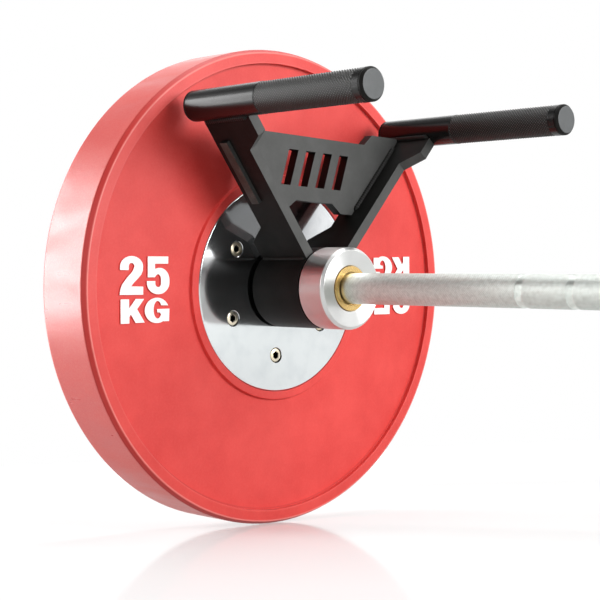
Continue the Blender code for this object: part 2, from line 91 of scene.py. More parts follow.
right = (CAMERA_RIGHT - CAMERA_FORWARD * CAMERA_RIGHT.dot(CAMERA_FORWARD)).normalized()
camera_axes = Matrix((right, right.cross(CAMERA_FORWARD), -CAMERA_FORWARD)).transposed()
camera = new_object("camera", bpy.data.cameras.new("camera"))
camera.data.lens = LENS_MM
camera.data.clip_start = 0.01
camera.data.clip_end = 100.0
camera.matrix_world = Matrix.Translation(CAMERA_PLACE) @ camera_axes.to_4x4()
bpy.context.scene.camera = camera
bpy.context.scene.view_settings.view_transform = "Standard"
print("camera at", tuple(round(v, 3) for v in camera.location))

# %% [markdown]
# ## A frame that lies along the bar
#
# The bar slopes, because its near end stands on the plate and its far end on the floor. Nearly
# every piece is round and lies on the bar's line, so the easiest way to make them is in the
# bar's own frame: X along the bar with 0 at the near collar's shoulder, Y across and Z up.
# One matrix then carries each finished mesh into place. The two sleeve joints give the line.

# %% Bar frame
MM = 0.001
joints = {joint["name"]: joint for joint in frame["joints"]}
near_shoulder = Vector(joints["near_sleeve_spin"]["pos_m"])
far_shoulder = Vector(joints["far_sleeve_spin"]["pos_m"])
bar_line = (far_shoulder - near_shoulder).normalized()
across = Vector((0.0, 1.0, 0.0))
BAR = Matrix((bar_line, across, bar_line.cross(across))).transposed().to_4x4()
BAR.translation = near_shoulder
TO_BAR = BAR.inverted()
SHOULDER_SPAN = (far_shoulder - near_shoulder).length
print("shoulder to shoulder:", round(SHOULDER_SPAN / MM, 1), "mm")


def out_from_line(place):
    """How far a place in the scene is from the bar's line."""
    local = TO_BAR @ place
    return math.hypot(local.y, local.z)


def reach(node):
    """A node's ends along the bar, and its inner and outer distance from the bar's line."""
    places = [vertex.co for vertex in nodes[node].data.vertices]
    along = [(TO_BAR @ place).x for place in places]
    out = [out_from_line(place) for place in places]
    return min(along), max(along), min(out), max(out)


for node in ("plate_rubber", "hub_disc_front", "handle_tube", "collar_near"):
    print(node, [round(value / MM, 2) for value in reach(node)])

# %% [markdown]
# ## Colours and nodes
#
# Colours are written as sRGB hex values, as a picture shows them, and Blender's nodes work with
# linear light. One function turns one into the other. Another adds a node with its settings and
# links and gives back an output, so that nodes can be written inside each other like a sum.
#
# The kinds of node that come back often get a short name, and their sockets go by number. Map
# Range takes its value at 0, the span it comes in at 1 and 2, and the span it goes out as at 3
# and 4, which is 0 to 1 if nothing is said. Mix takes its share at 0 and two numbers at 2 and 3,
# or two colours at 6 and 7, and then its result is output 2.

# %% Short names and colours
MATH, RANGE, MIX = "ShaderNodeMath", "ShaderNodeMapRange", "ShaderNodeMix"
NOISE, BUMP, VECTOR = "ShaderNodeTexNoise", "ShaderNodeBump", "ShaderNodeVectorMath"
JOIN, SPLIT = "ShaderNodeCombineXYZ", "ShaderNodeSeparateXYZ"
AS_COLOUR = {"give": 2, "data_type": "RGBA"}
SMOOTH = {"interpolation_type": "SMOOTHSTEP"}
WHITE = (1.0, 1.0, 1.0, 1.0)


def linear(hex_colour):
    """An sRGB hex colour as linear red, green, blue and alpha."""
    channels = [int(hex_colour[i:i + 2], 16) / 255 for i in (1, 3, 5)]
    return tuple(c / 12.92 if c <= 0.04045 else ((c + 0.055) / 1.055) ** 2.4
                 for c in channels) + (1.0,)


print("signal red is", [round(c, 3) for c in linear("#E35A56")])

# %% Nodes and materials


def connect(tree, node, inputs):
    """Sets inputs to values. A socket is linked instead, and a list of them to a joining input."""
    for key, value in inputs.items():
        for item in value if isinstance(value, list) else [value]:
            if isinstance(item, bpy.types.NodeSocket):
                tree.links.new(item, node.inputs[key])
            else:
                node.inputs[key].default_value = item


def add_node(tree, kind, inputs=None, give=0, **settings):
    """Adds a node with its settings and links, and gives one output, or all with give=None."""
    made = tree.nodes.new(kind)
    for key, value in settings.items():
        setattr(made, key, value)
    connect(tree, made, inputs or {})
    return made.outputs if give is None else made.outputs[give]


def new_material(name):
    """A material with an empty shader: its tree and its Principled node."""
    material = bpy.data.materials.new(name)
    material.use_nodes = True
    return material, material.node_tree, material.node_tree.nodes["Principled BSDF"]


print("a colour mix is a", MIX, "with", AS_COLOUR)

# %% Places in the bar's frame


def bar_place(tree):
    """A point's place in the bar's frame."""
    return add_node(tree, "ShaderNodeMapping", {
        "Vector": add_node(tree, "ShaderNodeTexCoord", give="Object"),
        "Location": BAR.translation, "Rotation": BAR.to_euler()}, vector_type="TEXTURE")


def round_the_bar(tree, place):
    """How far a place lies along the bar and out from its line, and at what angle round it."""
    along, y, z = add_node(tree, SPLIT, {0: place}, give=None)
    sideways = add_node(tree, JOIN, {1: y, 2: z})
    out = add_node(tree, VECTOR, {0: sideways}, give="Value", operation="LENGTH")
    return along, out, add_node(tree, MATH, {0: z, 1: y}, operation="ARCTAN2")


def in_band(tree, value, start, end, soft, level=1.0, **settings):
    """The level where a value lies from start to end, and nothing outside, with soft edges."""
    rise = add_node(tree, RANGE, {0: value, 1: start - soft, 2: start + soft, 4: level}, **settings)
    return add_node(tree, RANGE, {0: value, 1: end - soft, 2: end + soft, 3: rise, 4: 0.0}, **settings)


print("the bar's frame is turned by", [round(math.degrees(a), 2) for a in BAR.to_euler()], "degrees")

# %% [markdown]
# ## Red rubber
#
# Bumper plates are pressed from rubber. The face comes out satin from the mould, with faint cloudy
# blotches and specks of crumb. The lip round it gets a painted sheen, with painted highlights along its
# two edges, and the chamfer outside it and the step inside it get painted shade. These painted rings lie
# round the bar, so the material finds them by the distance from it.

# %% Red rubber face
CLOUD, SPECK, CRUMB, WAVE = 45 * MM, 2.2 * MM, 0.8 * MM, 9 * MM
CRUMB_DEPTH, WAVE_DEPTH = 0.10 * MM, 0.30 * MM
LIP_START, LIP_END, LIP_FALL = 211.6 * MM, 222.3 * MM, 1.2 * MM
# Each ring of painted shade or painted highlight starts and ends this many millimetres out and is so soft
# at its edges; then come the share of its tint and the tint.
LIP_SHADE_AND_HIGHLIGHT_RINGS = (
    # Painted shade in the step, a painted sheen on the lip, painted highlights on its two edges, and
    # painted shade across the chamfer.
    (209.6, 211.4, 0.4, 0.50, "#B5302B"),
    (211.6, 222.3, 0.3, 0.03, "#F39A93"),
    (211.7, 213.0, 0.4, 0.06, "#FFB0A8"),
    (221.0, 222.4, 0.4, 0.36, "#FFB8B0"),
    (222.7, 224.2, 0.3, 0.60, "#C62823"),
    (224.2, 226.0, 0.3, 0.70, "#AE1A16"),
)

rubber, tree, shader = new_material("moulded_red_rubber")
place = bar_place(tree)
_, out, _ = round_the_bar(tree, place)
clouds = add_node(tree, NOISE, {"Vector": place, "Scale": 1 / CLOUD, "Detail": 4.0, "Roughness": 0.6})
specks = add_node(tree, NOISE, {"Vector": place, "Scale": 1 / SPECK, "Detail": 3.0, "Roughness": 0.7})
cloudy = add_node(tree, RANGE, {0: clouds, 1: 0.35, 2: 0.68})
speckled = add_node(tree, RANGE, {0: specks, 1: 0.42, 2: 0.78, 4: 0.16})
colour = add_node(tree, MIX, {0: cloudy, 6: linear("#D7312C"), 7: linear("#E3403A")}, **AS_COLOUR)
colour = add_node(tree, MIX, {0: speckled, 6: colour, 7: linear("#EA716C")}, **AS_COLOUR)
for start, end, soft, share, tint in LIP_SHADE_AND_HIGHLIGHT_RINGS:
    zone = in_band(tree, out, start * MM, end * MM, soft * MM, share)
    colour = add_node(tree, MIX, {0: zone, 6: colour, 7: linear(tint)}, **AS_COLOUR)
crumb = add_node(tree, NOISE, {"Vector": place, "Scale": 1 / CRUMB, "Detail": 3.0})
waves = add_node(tree, NOISE, {"Vector": place, "Scale": 1 / WAVE, "Detail": 3.0})
crown = add_node(tree, RANGE, {0: out, 1: LIP_START, 2: LIP_END, 3: 1.0, 4: 0.0})
relief = add_node(tree, BUMP, {"Height": crumb, "Distance": CRUMB_DEPTH})
relief = add_node(tree, BUMP, {
    "Height": waves, "Distance": WAVE_DEPTH, "Strength": 0.6, "Normal": relief})
relief = add_node(tree, BUMP, {"Height": crown, "Distance": LIP_FALL, "Normal": relief})
connect(tree, shader, {
    "Base Color": colour, "Normal": relief, "IOR": 1.52, "Specular IOR Level": 0.42,
    "Sheen Weight": 0.02, "Sheen Roughness": 0.5,
    "Roughness": add_node(tree, RANGE, {0: specks, 1: 0.42, 2: 0.78, 3: 0.46, 4: 0.58})})
print("material", rubber.name, "nodes", len(tree.nodes))

# %% [markdown]
# ## The rolled rim
#
# The rim turns glossy, because it rolls on gym floors, and wipe marks run across it in soft
# streaks. Gloss sets it apart from the face more than colour does, so it is a material of its
# own. The streaks come from noise that is stretched along the bar.

# %% Rolled rim
RIM_STARTS = 224.6 * MM
WIPE, WIPE_DEPTH, WIPE_STRETCH = 30 * MM, 0.18 * MM, (0.30, 1.0, 1.0)
DUST, DUST_DEPTH = 1.6 * MM, 0.05 * MM

rolled_rim, tree, shader = new_material("rolled_glossy_rubber")
place = bar_place(tree)
stretched = add_node(tree, VECTOR, {0: place, 1: WIPE_STRETCH}, operation="MULTIPLY")
wipes = add_node(tree, NOISE, {"Vector": stretched, "Scale": 1 / WIPE, "Detail": 4.0, "Roughness": 0.55})
wipes = add_node(tree, RANGE, {0: wipes, 1: 0.30, 2: 0.72}, **SMOOTH)
dust = add_node(tree, NOISE, {"Vector": place, "Scale": 1 / DUST, "Detail": 3.0, "Roughness": 0.6})
dust = add_node(tree, RANGE, {0: dust, 1: 0.40, 2: 0.80, 4: 0.22})
colour = add_node(tree, MIX, {0: wipes, 6: linear("#D9362F"), 7: linear("#DE4A42")}, **AS_COLOUR)
colour = add_node(tree, MIX, {0: dust, 6: colour, 7: linear("#E8918A")}, **AS_COLOUR)
relief = add_node(tree, BUMP, {"Height": wipes, "Distance": WIPE_DEPTH})
relief = add_node(tree, BUMP, {"Height": dust, "Distance": DUST_DEPTH, "Normal": relief})
connect(tree, shader, {
    "Base Color": colour, "Normal": relief, "IOR": 1.55, "Specular IOR Level": 0.70,
    "Roughness": add_node(tree, RANGE, {0: wipes, 3: 0.27, 4: 0.46})})
print("material", rolled_rim.name, "nodes", len(tree.nodes))

# %% [markdown]
# ## Metals
#
# A metal's colour is its reflection, so each of these keeps Metallic at 1 and differs in colour,
# roughness and fine relief. The hub discs are turned and polished to a mirror, and only faint
# turning lines are left. The sleeves are hard chrome, which is a little greyer than white, the
# bushings are cast bronze, and the bare parts inside plain turned steel. Lines from a lathe run
# round the bar, so they depend only on the distance from it and on the place along it. The
# collars keep so many that a reflection is smeared across the lines, which is what the
# Anisotropic input does along its tangent.

# %% Metals
SMUDGE = 22 * MM


def turned_metal(name, colour, shade, roughness, line_size, line_depth, dulled=0.05, stretch=0.0):
    """A turned metal: lathe lines round the bar, and soft smudges that dull it a little."""
    material, tree, shader = new_material(name)
    place = bar_place(tree)
    along, out, _ = round_the_bar(tree, place)
    lines = add_node(tree, NOISE, {
        "Vector": add_node(tree, JOIN, {0: along, 1: out}), "Scale": 1 / line_size, "Detail": 2.0})
    smudges = add_node(tree, NOISE, {
        "Vector": place, "Scale": 1 / SMUDGE, "Detail": 4.0, "Roughness": 0.6})
    smudges = add_node(tree, RANGE, {0: smudges, 1: 0.45, 2: 0.75})
    connect(tree, shader, {
        "Base Color": add_node(tree, MIX, {
            0: smudges, 6: linear(colour), 7: linear(shade)}, **AS_COLOUR),
        "Metallic": 1.0, "Anisotropic": stretch,
        "Roughness": add_node(tree, RANGE, {0: smudges, 3: roughness, 4: roughness + dulled}),
        "Normal": add_node(tree, BUMP, {"Height": lines, "Distance": line_depth})})
    if stretch:
        from_bar = add_node(tree, VECTOR, {
            0: add_node(tree, "ShaderNodeTexCoord", give="Object"), 1: BAR.translation},
            operation="SUBTRACT")
        lathe_line = add_node(tree, VECTOR, {0: bar_line, 1: from_bar}, operation="CROSS_PRODUCT")
        lathe_line = add_node(tree, "ShaderNodeVectorTransform", {0: lathe_line},
                              convert_from="OBJECT", convert_to="WORLD")
        surface = add_node(tree, "ShaderNodeNewGeometry", give="Normal")
        connect(tree, shader, {"Tangent": add_node(
            tree, VECTOR, {0: surface, 1: lathe_line}, operation="CROSS_PRODUCT")})
    return material


mirror_steel = turned_metal("polished_hub_steel", "#E4E6E8", "#DADDE0", 0.09, 0.6 * MM, 0.001 * MM, 0.03)
chrome = turned_metal("hard_chrome", "#D2D3D6", "#C2C3C7", 0.09, 0.8 * MM, 0.003 * MM)
satin_chrome = turned_metal(
    "turned_satin_chrome", "#D2D2D1", "#C6C5C4", 0.30, 0.7 * MM, 0.002 * MM, 0.02, stretch=0.88)
bronze = turned_metal("bearing_bronze", "#DDBB7C", "#C49C5A", 0.24, 0.5 * MM, 0.004 * MM, 0.08)
plain_steel = turned_metal("turned_steel", "#B9B6B0", "#A19E98", 0.32, 0.7 * MM, 0.02 * MM, 0.10)
zinc = turned_metal("zinc_plated_screw_steel", "#E0D6C2", "#C9B994", 0.28, 0.4 * MM, 0.004 * MM, 0.10)
print("metals:", [m.name for m in (mirror_steel, chrome, satin_chrome, bronze, plain_steel, zinc)])

# %% Painted shade in the screws' sockets
# The sockets are painted dark, as shade in them; an attribute of each screw's mesh says where.
tree, shader = zinc.node_tree, zinc.node_tree.nodes["Principled BSDF"]
plated = shader.inputs["Base Color"].links[0].from_socket
socket_shade_mask = add_node(tree, "ShaderNodeAttribute", give="Fac", attribute_name="painted_socket_shade")
connect(tree, shader, {
    "Base Color": add_node(tree, MIX, {0: socket_shade_mask, 6: plated, 7: linear("#1B1713")}, **AS_COLOUR)})
print("material", zinc.name, "nodes", len(tree.nodes))

# %% [markdown]
# ## The bar's knurled steel
#
# The shaft is bare or brushed steel with a fine diamond knurl where the hands go. Two sets of
# crossing grooves make the diamonds. Each set is a triangle wave of the angle round the bar plus
# or minus the place along it, and the lower of the two waves is the pyramid between grooves. A
# real knurl has a 1.2 mm pitch. That is just over one pixel here, so it is drawn at 2 mm. Dust
# and skin dull it, and a Metallic of one half stands for that film. The ring marks stay bright.

# %% Bar steel
KNURL_PITCH, KNURL_AROUND, KNURL_DEPTH = 2.0 * MM, 44, 0.30 * MM
KNURL_BANDS = ((0.0335, 0.4650), (0.6250, 0.7450), (0.9050, 1.3365))
BAND_FADE = 0.5 * MM
RING_MARKS = (0.2300, 0.2800, 1.1400, 1.0900)
MARK_HALF = 3.5 * MM
STAIN = 3.5 * MM


def crossing_grooves(tree, turns, steps):
    """The lower of two triangle waves that cross: 0 in the grooves and 0.5 on the points."""
    waves = []
    for how in ("ADD", "SUBTRACT"):
        slanted = add_node(tree, MATH, {0: turns, 1: steps}, operation=how)
        waves.append(add_node(tree, MATH, {0: slanted, 1: 0.5}, operation="PINGPONG"))
    return add_node(tree, MATH, {0: waves[0], 1: waves[1]}, operation="MINIMUM")


bar_steel, tree, shader = new_material("knurled_bar_steel")
place = bar_place(tree)
along, _, angle = round_the_bar(tree, place)
turns = add_node(tree, MATH, {0: angle, 1: KNURL_AROUND / math.tau}, operation="MULTIPLY")
steps = add_node(tree, MATH, {0: along, 1: KNURL_PITCH}, operation="DIVIDE")
diamonds = crossing_grooves(tree, turns, steps)
print("knurl:", KNURL_AROUND, "diamonds round the bar")

# %% Bands and rings of the knurl
banded = 0.0
for start, end in KNURL_BANDS:
    inside = in_band(tree, along, start + BAND_FADE, end - BAND_FADE, BAND_FADE)
    banded = add_node(tree, MATH, {0: banded, 1: inside}, operation="MAXIMUM")
for mark in RING_MARKS:
    in_mark = add_node(tree, MATH, {0: along, 1: mark, 2: MARK_HALF}, operation="COMPARE")
    banded = add_node(tree, MATH, {0: banded, 1: in_mark}, operation="SUBTRACT", use_clamp=True)
stain = add_node(tree, NOISE, {"Vector": place, "Scale": 1 / STAIN, "Detail": 4.0, "Roughness": 0.7})
stain = add_node(tree, RANGE, {0: stain, 1: 0.40, 2: 0.72})
# The knurl's grooves are darker.
groove_darkening = add_node(tree, RANGE, {0: diamonds, 2: 0.20, 3: 0.24, 4: 0.0})
groove_darkening = add_node(tree, MATH, {0: banded, 1: groove_darkening}, operation="MULTIPLY")
colour = add_node(tree, MIX, {0: stain, 6: linear("#E2E8E3"), 7: linear("#C9CEC8")}, **AS_COLOUR)
colour = add_node(tree, MIX, {0: groove_darkening, 6: colour, 7: linear("#56534E")}, **AS_COLOUR)
knurled = add_node(tree, MATH, {0: diamonds, 1: banded}, operation="MULTIPLY")
connect(tree, shader, {
    "Base Color": colour, "Metallic": add_node(tree, RANGE, {0: banded, 3: 1.0, 4: 0.50}),
    "Roughness": add_node(tree, RANGE, {0: banded, 3: 0.30, 4: 0.38}),
    "Normal": add_node(tree, BUMP, {"Height": knurled, "Distance": KNURL_DEPTH, "Strength": 0.8})})
print("knurled bands:", KNURL_BANDS)

# %% [markdown]
# ## Black coats
#
# The handle is welded steel under a black powder coat, which is sprayed on as dust and melted.
# It has a fine orange-peel grain. Its flat fronts are painted grey, a painted sheen of the key light that
# falls on them, and it stays deep black on the plates' sides, on the turned tube and over the welds. The
# ground ends of the tabs are greyer again, and the plugs in the grips get a painted grey sheen too, so
# each of these places has a coat of its own. Nylon for the bearing liner is dull. The numbers are white
# rubber.

# %% Powder coat, nylon and white rubber
COAT_CLOUD = 18 * MM


def plain_coat(name, colour, shade, roughness, peel_size, peel_depth, level=0.5):
    """A dielectric finish with cloudy colour and a fine peel."""
    material, tree, shader = new_material(name)
    place = bar_place(tree)
    clouds = add_node(tree, NOISE, {
        "Vector": place, "Scale": 1 / COAT_CLOUD, "Detail": 5.0, "Roughness": 0.65})
    clouds = add_node(tree, RANGE, {0: clouds, 1: 0.38, 2: 0.70})
    peel = add_node(tree, NOISE, {
        "Vector": place, "Scale": 1 / peel_size, "Detail": 3.0, "Roughness": 0.6})
    connect(tree, shader, {
        "Base Color": add_node(tree, MIX, {
            0: clouds, 6: linear(colour), 7: linear(shade)}, **AS_COLOUR),
        "Roughness": add_node(tree, RANGE, {
            0: peel, 1: 0.3, 2: 0.7, 3: roughness - 0.06, 4: roughness + 0.06}),
        "Normal": add_node(tree, BUMP, {"Height": peel, "Distance": peel_depth}),
        "IOR": 1.5, "Specular IOR Level": level})
    return material


# The fronts' grey and the caps' grey are a painted sheen of the key light.
front_sheen_coat = plain_coat("black_coat_painted_sheen_on_fronts", "#4B4B4A", "#535352", 0.42, 1.1 * MM, 0.05 * MM, 0.20)
side_coat = plain_coat("black_coat_on_plate_sides", "#141413", "#1D1C1B", 0.46, 1.1 * MM, 0.06 * MM, 0.10)
tube_coat = plain_coat("black_coat_on_turned_tube", "#111110", "#181817", 0.46, 1.1 * MM, 0.04 * MM, 0.12)
worn_coat = plain_coat("ground_weld_coat", "#2C312D", "#474D48", 0.50, 2.4 * MM, 0.25 * MM, 0.40)
cap_sheen_coat = plain_coat("grip_cap_coat_painted_sheen", "#4A4C4D", "#535556", 0.40, 1.1 * MM, 0.03 * MM, 0.40)
weld_coat = plain_coat("coated_weld_steel", "#141413", "#1E1D1C", 0.44, 1.6 * MM, 0.10 * MM, 0.20)
nylon = plain_coat("black_nylon", "#070707", "#0B0B0B", 0.70, 0.6 * MM, 0.03 * MM, 0.08)
white_rubber = plain_coat("white_number_rubber", "#FDFDFC", "#F6F5F3", 0.50, 1.2 * MM, 0.04 * MM)
coats = (front_sheen_coat, side_coat, tube_coat, worn_coat, cap_sheen_coat, weld_coat, nylon, white_rubber)
print("coats:", [coat.name for coat in coats])

# %% [markdown]
# ## The grips' coat
#
# The same coat on the grips is rubbed by hands. Their knurl's points are a lighter, duller grey, partly
# worn and partly a painted glint, and the grooves and the smooth bands stay dark and shinier. The rule
# that cuts the knurl, further on, leaves the height of each point in an attribute called knurl_height,
# and this material reads it.

# %% Grip coat
PEEL, PEEL_DEPTH = 0.9 * MM, 0.02 * MM

grip_coat, tree, shader = new_material("rubbed_black_grip_coat")
height = add_node(tree, "ShaderNodeAttribute", give="Fac", attribute_name="knurl_height")
# Knurl points are lighter: partly worn, partly a painted glint.
worn_and_glinting = add_node(tree, RANGE, {0: height, 1: 0.55, 2: 0.95})
peel = add_node(tree, NOISE, {
    "Vector": bar_place(tree), "Scale": 1 / PEEL, "Detail": 3.0, "Roughness": 0.6})
connect(tree, shader, {
    "Base Color": add_node(tree, MIX, {
        0: worn_and_glinting, 6: linear("#0B0A09"), 7: linear("#64635D")}, **AS_COLOUR),
    "IOR": 1.5, "Specular IOR Level": 0.38,
    "Roughness": add_node(tree, RANGE, {0: height, 2: 0.30, 3: 0.27, 4: 0.36}),
    "Normal": add_node(tree, BUMP, {"Height": peel, "Distance": PEEL_DEPTH})})
print("material", grip_coat.name)

# %% [markdown]
# ## Finishing a piece
#
# Every piece ends in the same steps. Its mesh is made in the bar's frame and carried into place, its
# faces shade smoothly except across real edges, it gets its material, and then it is hung on the body it
# rides on, and the CAD nodes it stands for are hidden. A Weighted Normal step gives the big flat faces
# the say at each corner, so a narrow round on the edge doesn't make them look bent.
#
# Modifiers work on an object, but only the mesh that they make is wanted. So a mesh is hung on
# an object for a moment, and the result is taken from it as a plain mesh.

# %% Meshes and modifiers


def to_mesh(shape, name):
    """The mesh of a bmesh, which is freed."""
    mesh = bpy.data.meshes.new(name)
    shape.to_mesh(mesh)
    shape.free()
    return mesh


def modified(mesh, kind, inputs=None, **settings):
    """The plain mesh that a modifier makes of a mesh, which is thrown away."""
    carrier = new_object("carrier", mesh)
    modifier = carrier.modifiers.new("step", kind)
    for key, value in settings.items():
        setattr(modifier, key, value)
    for key, value in (inputs or {}).items():
        modifier[key] = value
    bpy.context.view_layer.update()
    graph = bpy.context.evaluated_depsgraph_get()
    made = bpy.data.meshes.new_from_object(carrier.evaluated_get(graph))
    bpy.data.objects.remove(carrier)
    bpy.data.meshes.remove(mesh)
    return made


print("a modifier's result is taken as a plain mesh")

# %% Finish a piece
SHARP = math.radians(30)


def finish_piece(name, mesh, material, body, stands_for=(), placed=False):
    """Turns a mesh into a finished piece that rides on a body."""
    if not placed:
        mesh.transform(BAR)
    mesh.shade_smooth()
    mesh.set_sharp_from_angle(angle=SHARP)
    mesh.materials.clear()
    mesh.materials.append(material)
    mesh = modified(mesh, "WEIGHTED_NORMAL", keep_sharp=True)
    mesh.name = name
    piece = new_object(name, mesh)
    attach(piece, body)
    if stands_for:
        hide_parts(*stands_for)
    return piece


def recoat(piece, material, chosen):
    """Gives one more material to the faces that a test chooses, and counts them."""
    piece.data.materials.append(material)
    faces = [face for face in piece.data.polygons if chosen(face)]
    for face in faces:
        face.material_index = len(piece.data.materials) - 1
    return len(faces)


print("sharp edges from", round(math.degrees(SHARP)), "degrees")

# %% [markdown]
# ## Turning round pieces
#
# A lathe makes most of this object, so a lathe function makes most of its pieces. An outline is
# a list of corners, each a place along the bar and a distance out from it. One that starts and
# ends on the line makes a solid, and any other a ring. Real edges are never perfectly sharp, and
# a tiny round on each corner is what catches the light, so the corners are rounded first. Many
# more sides than the CAD solids have keep the plate's edge truly round.

# %% Rounded corners
ON_LINE = 0.0001 * MM


def soften(outline, radius, sharp_ends=False, steps=3):
    """Rounds the corners of an outline of (along, out) points, but not its ends on the line."""
    count = len(outline)
    keep_ends = sharp_ends or outline[0][1] < ON_LINE
    rounded = []
    for index, corner in enumerate(outline):
        here = Vector(corner)
        if keep_ends and index in (0, count - 1):
            rounded.append(tuple(here))
            continue
        before = Vector(outline[index - 1]) - here
        after = Vector(outline[(index + 1) % count]) - here
        cut = min(radius, 0.45 * before.length, 0.45 * after.length)
        start = here + before.normalized() * cut
        end = here + after.normalized() * cut
        for step in range(steps + 1):
            t = step / steps
            rounded.append(tuple(start * (1 - t) ** 2 + here * 2 * t * (1 - t) + end * t ** 2))
    return rounded


print("a softened square has", len(soften([(0, 1), (1, 1), (1, 2), (0, 2)], 0.1)), "corners")

# %% Lathe
FINE_SIDES = 160


def around(out, turn, centre=(0.0, 0.0)):
    """The y and z of a point on a circle round a line along the bar."""
    return centre[0] + out * math.cos(turn), centre[1] + out * math.sin(turn)


def skinned(shape, rings, name):
    """Joins each ring of corners to the next with faces, turns them outwards and gives the mesh."""
    for ring, after in zip(rings, rings[1:]):
        for i, corner in enumerate(ring):
            j = (i + 1) % len(ring)
            # A ring on the line is one corner many times over, so a face takes each corner once.
            shape.faces.new(dict.fromkeys([corner, ring[j], after[j], after[i]]))
    bmesh.ops.recalc_face_normals(shape, faces=shape.faces)
    return to_mesh(shape, name)


def lathe(outline, sides, centre=(0.0, 0.0)):
    """A mesh turned from an outline, round a line beside the bar."""
    shape = bmesh.new()
    rings = []
    for along, out in outline:
        if out < ON_LINE:
            rings.append([shape.verts.new((along, *centre))] * sides)
        else:
            rings.append([shape.verts.new((along, *around(out, math.tau * i / sides, centre)))
                          for i in range(sides)])
    if outline[0][1] >= ON_LINE:
        rings.append(rings[0])
    return skinned(shape, rings, "turned")


def turned_piece(name, outline, edge, material, body, node,
                 sides=FINE_SIDES, sharp_ends=False, centre=(0.0, 0.0)):
    """A finished piece turned from an outline, with its corners rounded by the edge."""
    mesh = lathe(soften(outline, edge, sharp_ends), sides, centre)
    return finish_piece(name, mesh, material, body, [node])


print("round pieces get", FINE_SIDES, "sides")

# %% [markdown]
# ## The plate's rubber
#
# The mould gives the plate a wide recessed face between an outer lip and a raised ring round the
# steel hub. A small chamfer leads from each lip to the rim. Because the plate is symmetrical,
# half an outline is written and mirrored. The sizes come from the frame's plate and from the
# steps that its solid has.

# %% Plate rubber
PLATE_SIDES = 256
CHAMFER_DEPTH, CHAMFER_RISE = 5.4 * MM, 2.7 * MM
LIP_WIDTH, FACE_RECESS, FACE_DRAFT = 10.7 * MM, 4.4 * MM, 0.8 * MM
RING_WIDTH, HUB_RECESS, CORE_STEP = 7.5 * MM, 0.8 * MM, 5.0 * MM
GAP = 0.3 * MM


def both_halves(half_outline, middle):
    """An outline from its front half, which is mirrored about a place along the bar."""
    return ([(middle - x, r) for x, r in reversed(half_outline)] +
            [(middle + x, r) for x, r in half_outline])


plate_rear, plate_front, _, plate_radius = reach("plate_rubber")
disc_rear, disc_front, _, hub_radius = reach("hub_disc_front")
plate_middle = (plate_rear + plate_front) / 2
half = (plate_front - plate_rear) / 2
rim = plate_radius - CHAMFER_RISE
ring_radius = hub_radius + GAP + RING_WIDTH
face_level = half - FACE_RECESS
core_level = disc_rear - GAP - plate_middle
half_outline = [
    (core_level, hub_radius - CORE_STEP + GAP), (core_level, hub_radius + GAP),
    (half - HUB_RECESS, hub_radius + GAP), (half - HUB_RECESS, ring_radius),
    (face_level, ring_radius + FACE_DRAFT), (face_level, rim - LIP_WIDTH),
    (half, rim - LIP_WIDTH), (half, rim), (half - CHAMFER_DEPTH, plate_radius)]
plate_piece = turned_piece("rubber_plate", both_halves(half_outline, plate_middle), 0.7 * MM,
                           rubber, "plate", "plate_rubber", PLATE_SIDES)
corners = plate_piece.data.vertices
rim_faces = recoat(plate_piece, rolled_rim, lambda face: RIM_STARTS < min(
    out_from_line(corners[i].co) for i in face.vertices))
print("plate rubber faces:", len(plate_piece.data.polygons), "of them on the rim:", rim_faces)

# %% [markdown]
# ## The steel hub
#
# Two polished discs cover a steel core, and a steel bush lines the bore. The discs are turned,
# then drilled for their screws' heads, and each hole gets a narrow countersink. A drill is a
# Boolean with a round cutter: the exact solver leaves a clean hole in a flat disc. The cutters
# are thrown away afterwards. The bore's edges stay sharp, as a turned bore's do.

# %% Drill


def joined(meshes, name):
    """One mesh of several, which are thrown away."""
    shape = bmesh.new()
    for mesh in meshes:
        shape.from_mesh(mesh)
        bpy.data.meshes.remove(mesh)
    return to_mesh(shape, name)


def drill(blank, bits):
    """Cuts bits out of a mesh, and returns the drilled mesh."""
    tool = new_object("drill_bits", joined(bits, "drill_bits"))
    drilled = modified(blank, "BOOLEAN", operation="DIFFERENCE", solver="EXACT", object=tool)
    bpy.data.objects.remove(tool)
    return drilled


print("a drill is a Boolean whose cutters are joined into one mesh")

# %% Hub discs
SCREW_COUNT = 6
SCREW_PHASE = math.radians(28.5)
SCREW_CIRCLE = hub_radius - 34.2 * MM
POCKET_RADIUS, POCKET_FLARE, POCKET_SIDES = 7.2 * MM, 0.4 * MM, 40
DISC_BEVEL, DISC_EDGE = 1.0 * MM, 0.25 * MM

for side, facing in (("front", 1), ("rear", -1)):
    back, face, bore, rim_out = reach("hub_disc_" + side)
    if facing < 0:
        back, face = face, back
    corners = [(face, bore), (face, rim_out - DISC_BEVEL), (face - facing * DISC_BEVEL, rim_out),
               (back, rim_out), (back, bore)]
    blank = lathe(soften(corners, DISC_EDGE, sharp_ends=True), PLATE_SIDES)
    flare = facing * POCKET_FLARE
    pocket = [(back - flare, 0.0), (back - flare, POCKET_RADIUS), (face - flare, POCKET_RADIUS),
              (face + flare, POCKET_RADIUS + 2 * POCKET_FLARE), (face + flare, 0.0)]
    centres = [around(SCREW_CIRCLE, SCREW_PHASE + math.tau * index / SCREW_COUNT)
               for index in range(SCREW_COUNT)]
    disc = drill(blank, [lathe(pocket, POCKET_SIDES, centre) for centre in centres])
    disc_piece = finish_piece("hub_plate_" + side, disc, mirror_steel, "plate",
                              ["hub_disc_" + side])
    print(disc_piece.name, "faces:", len(disc_piece.data.polygons))

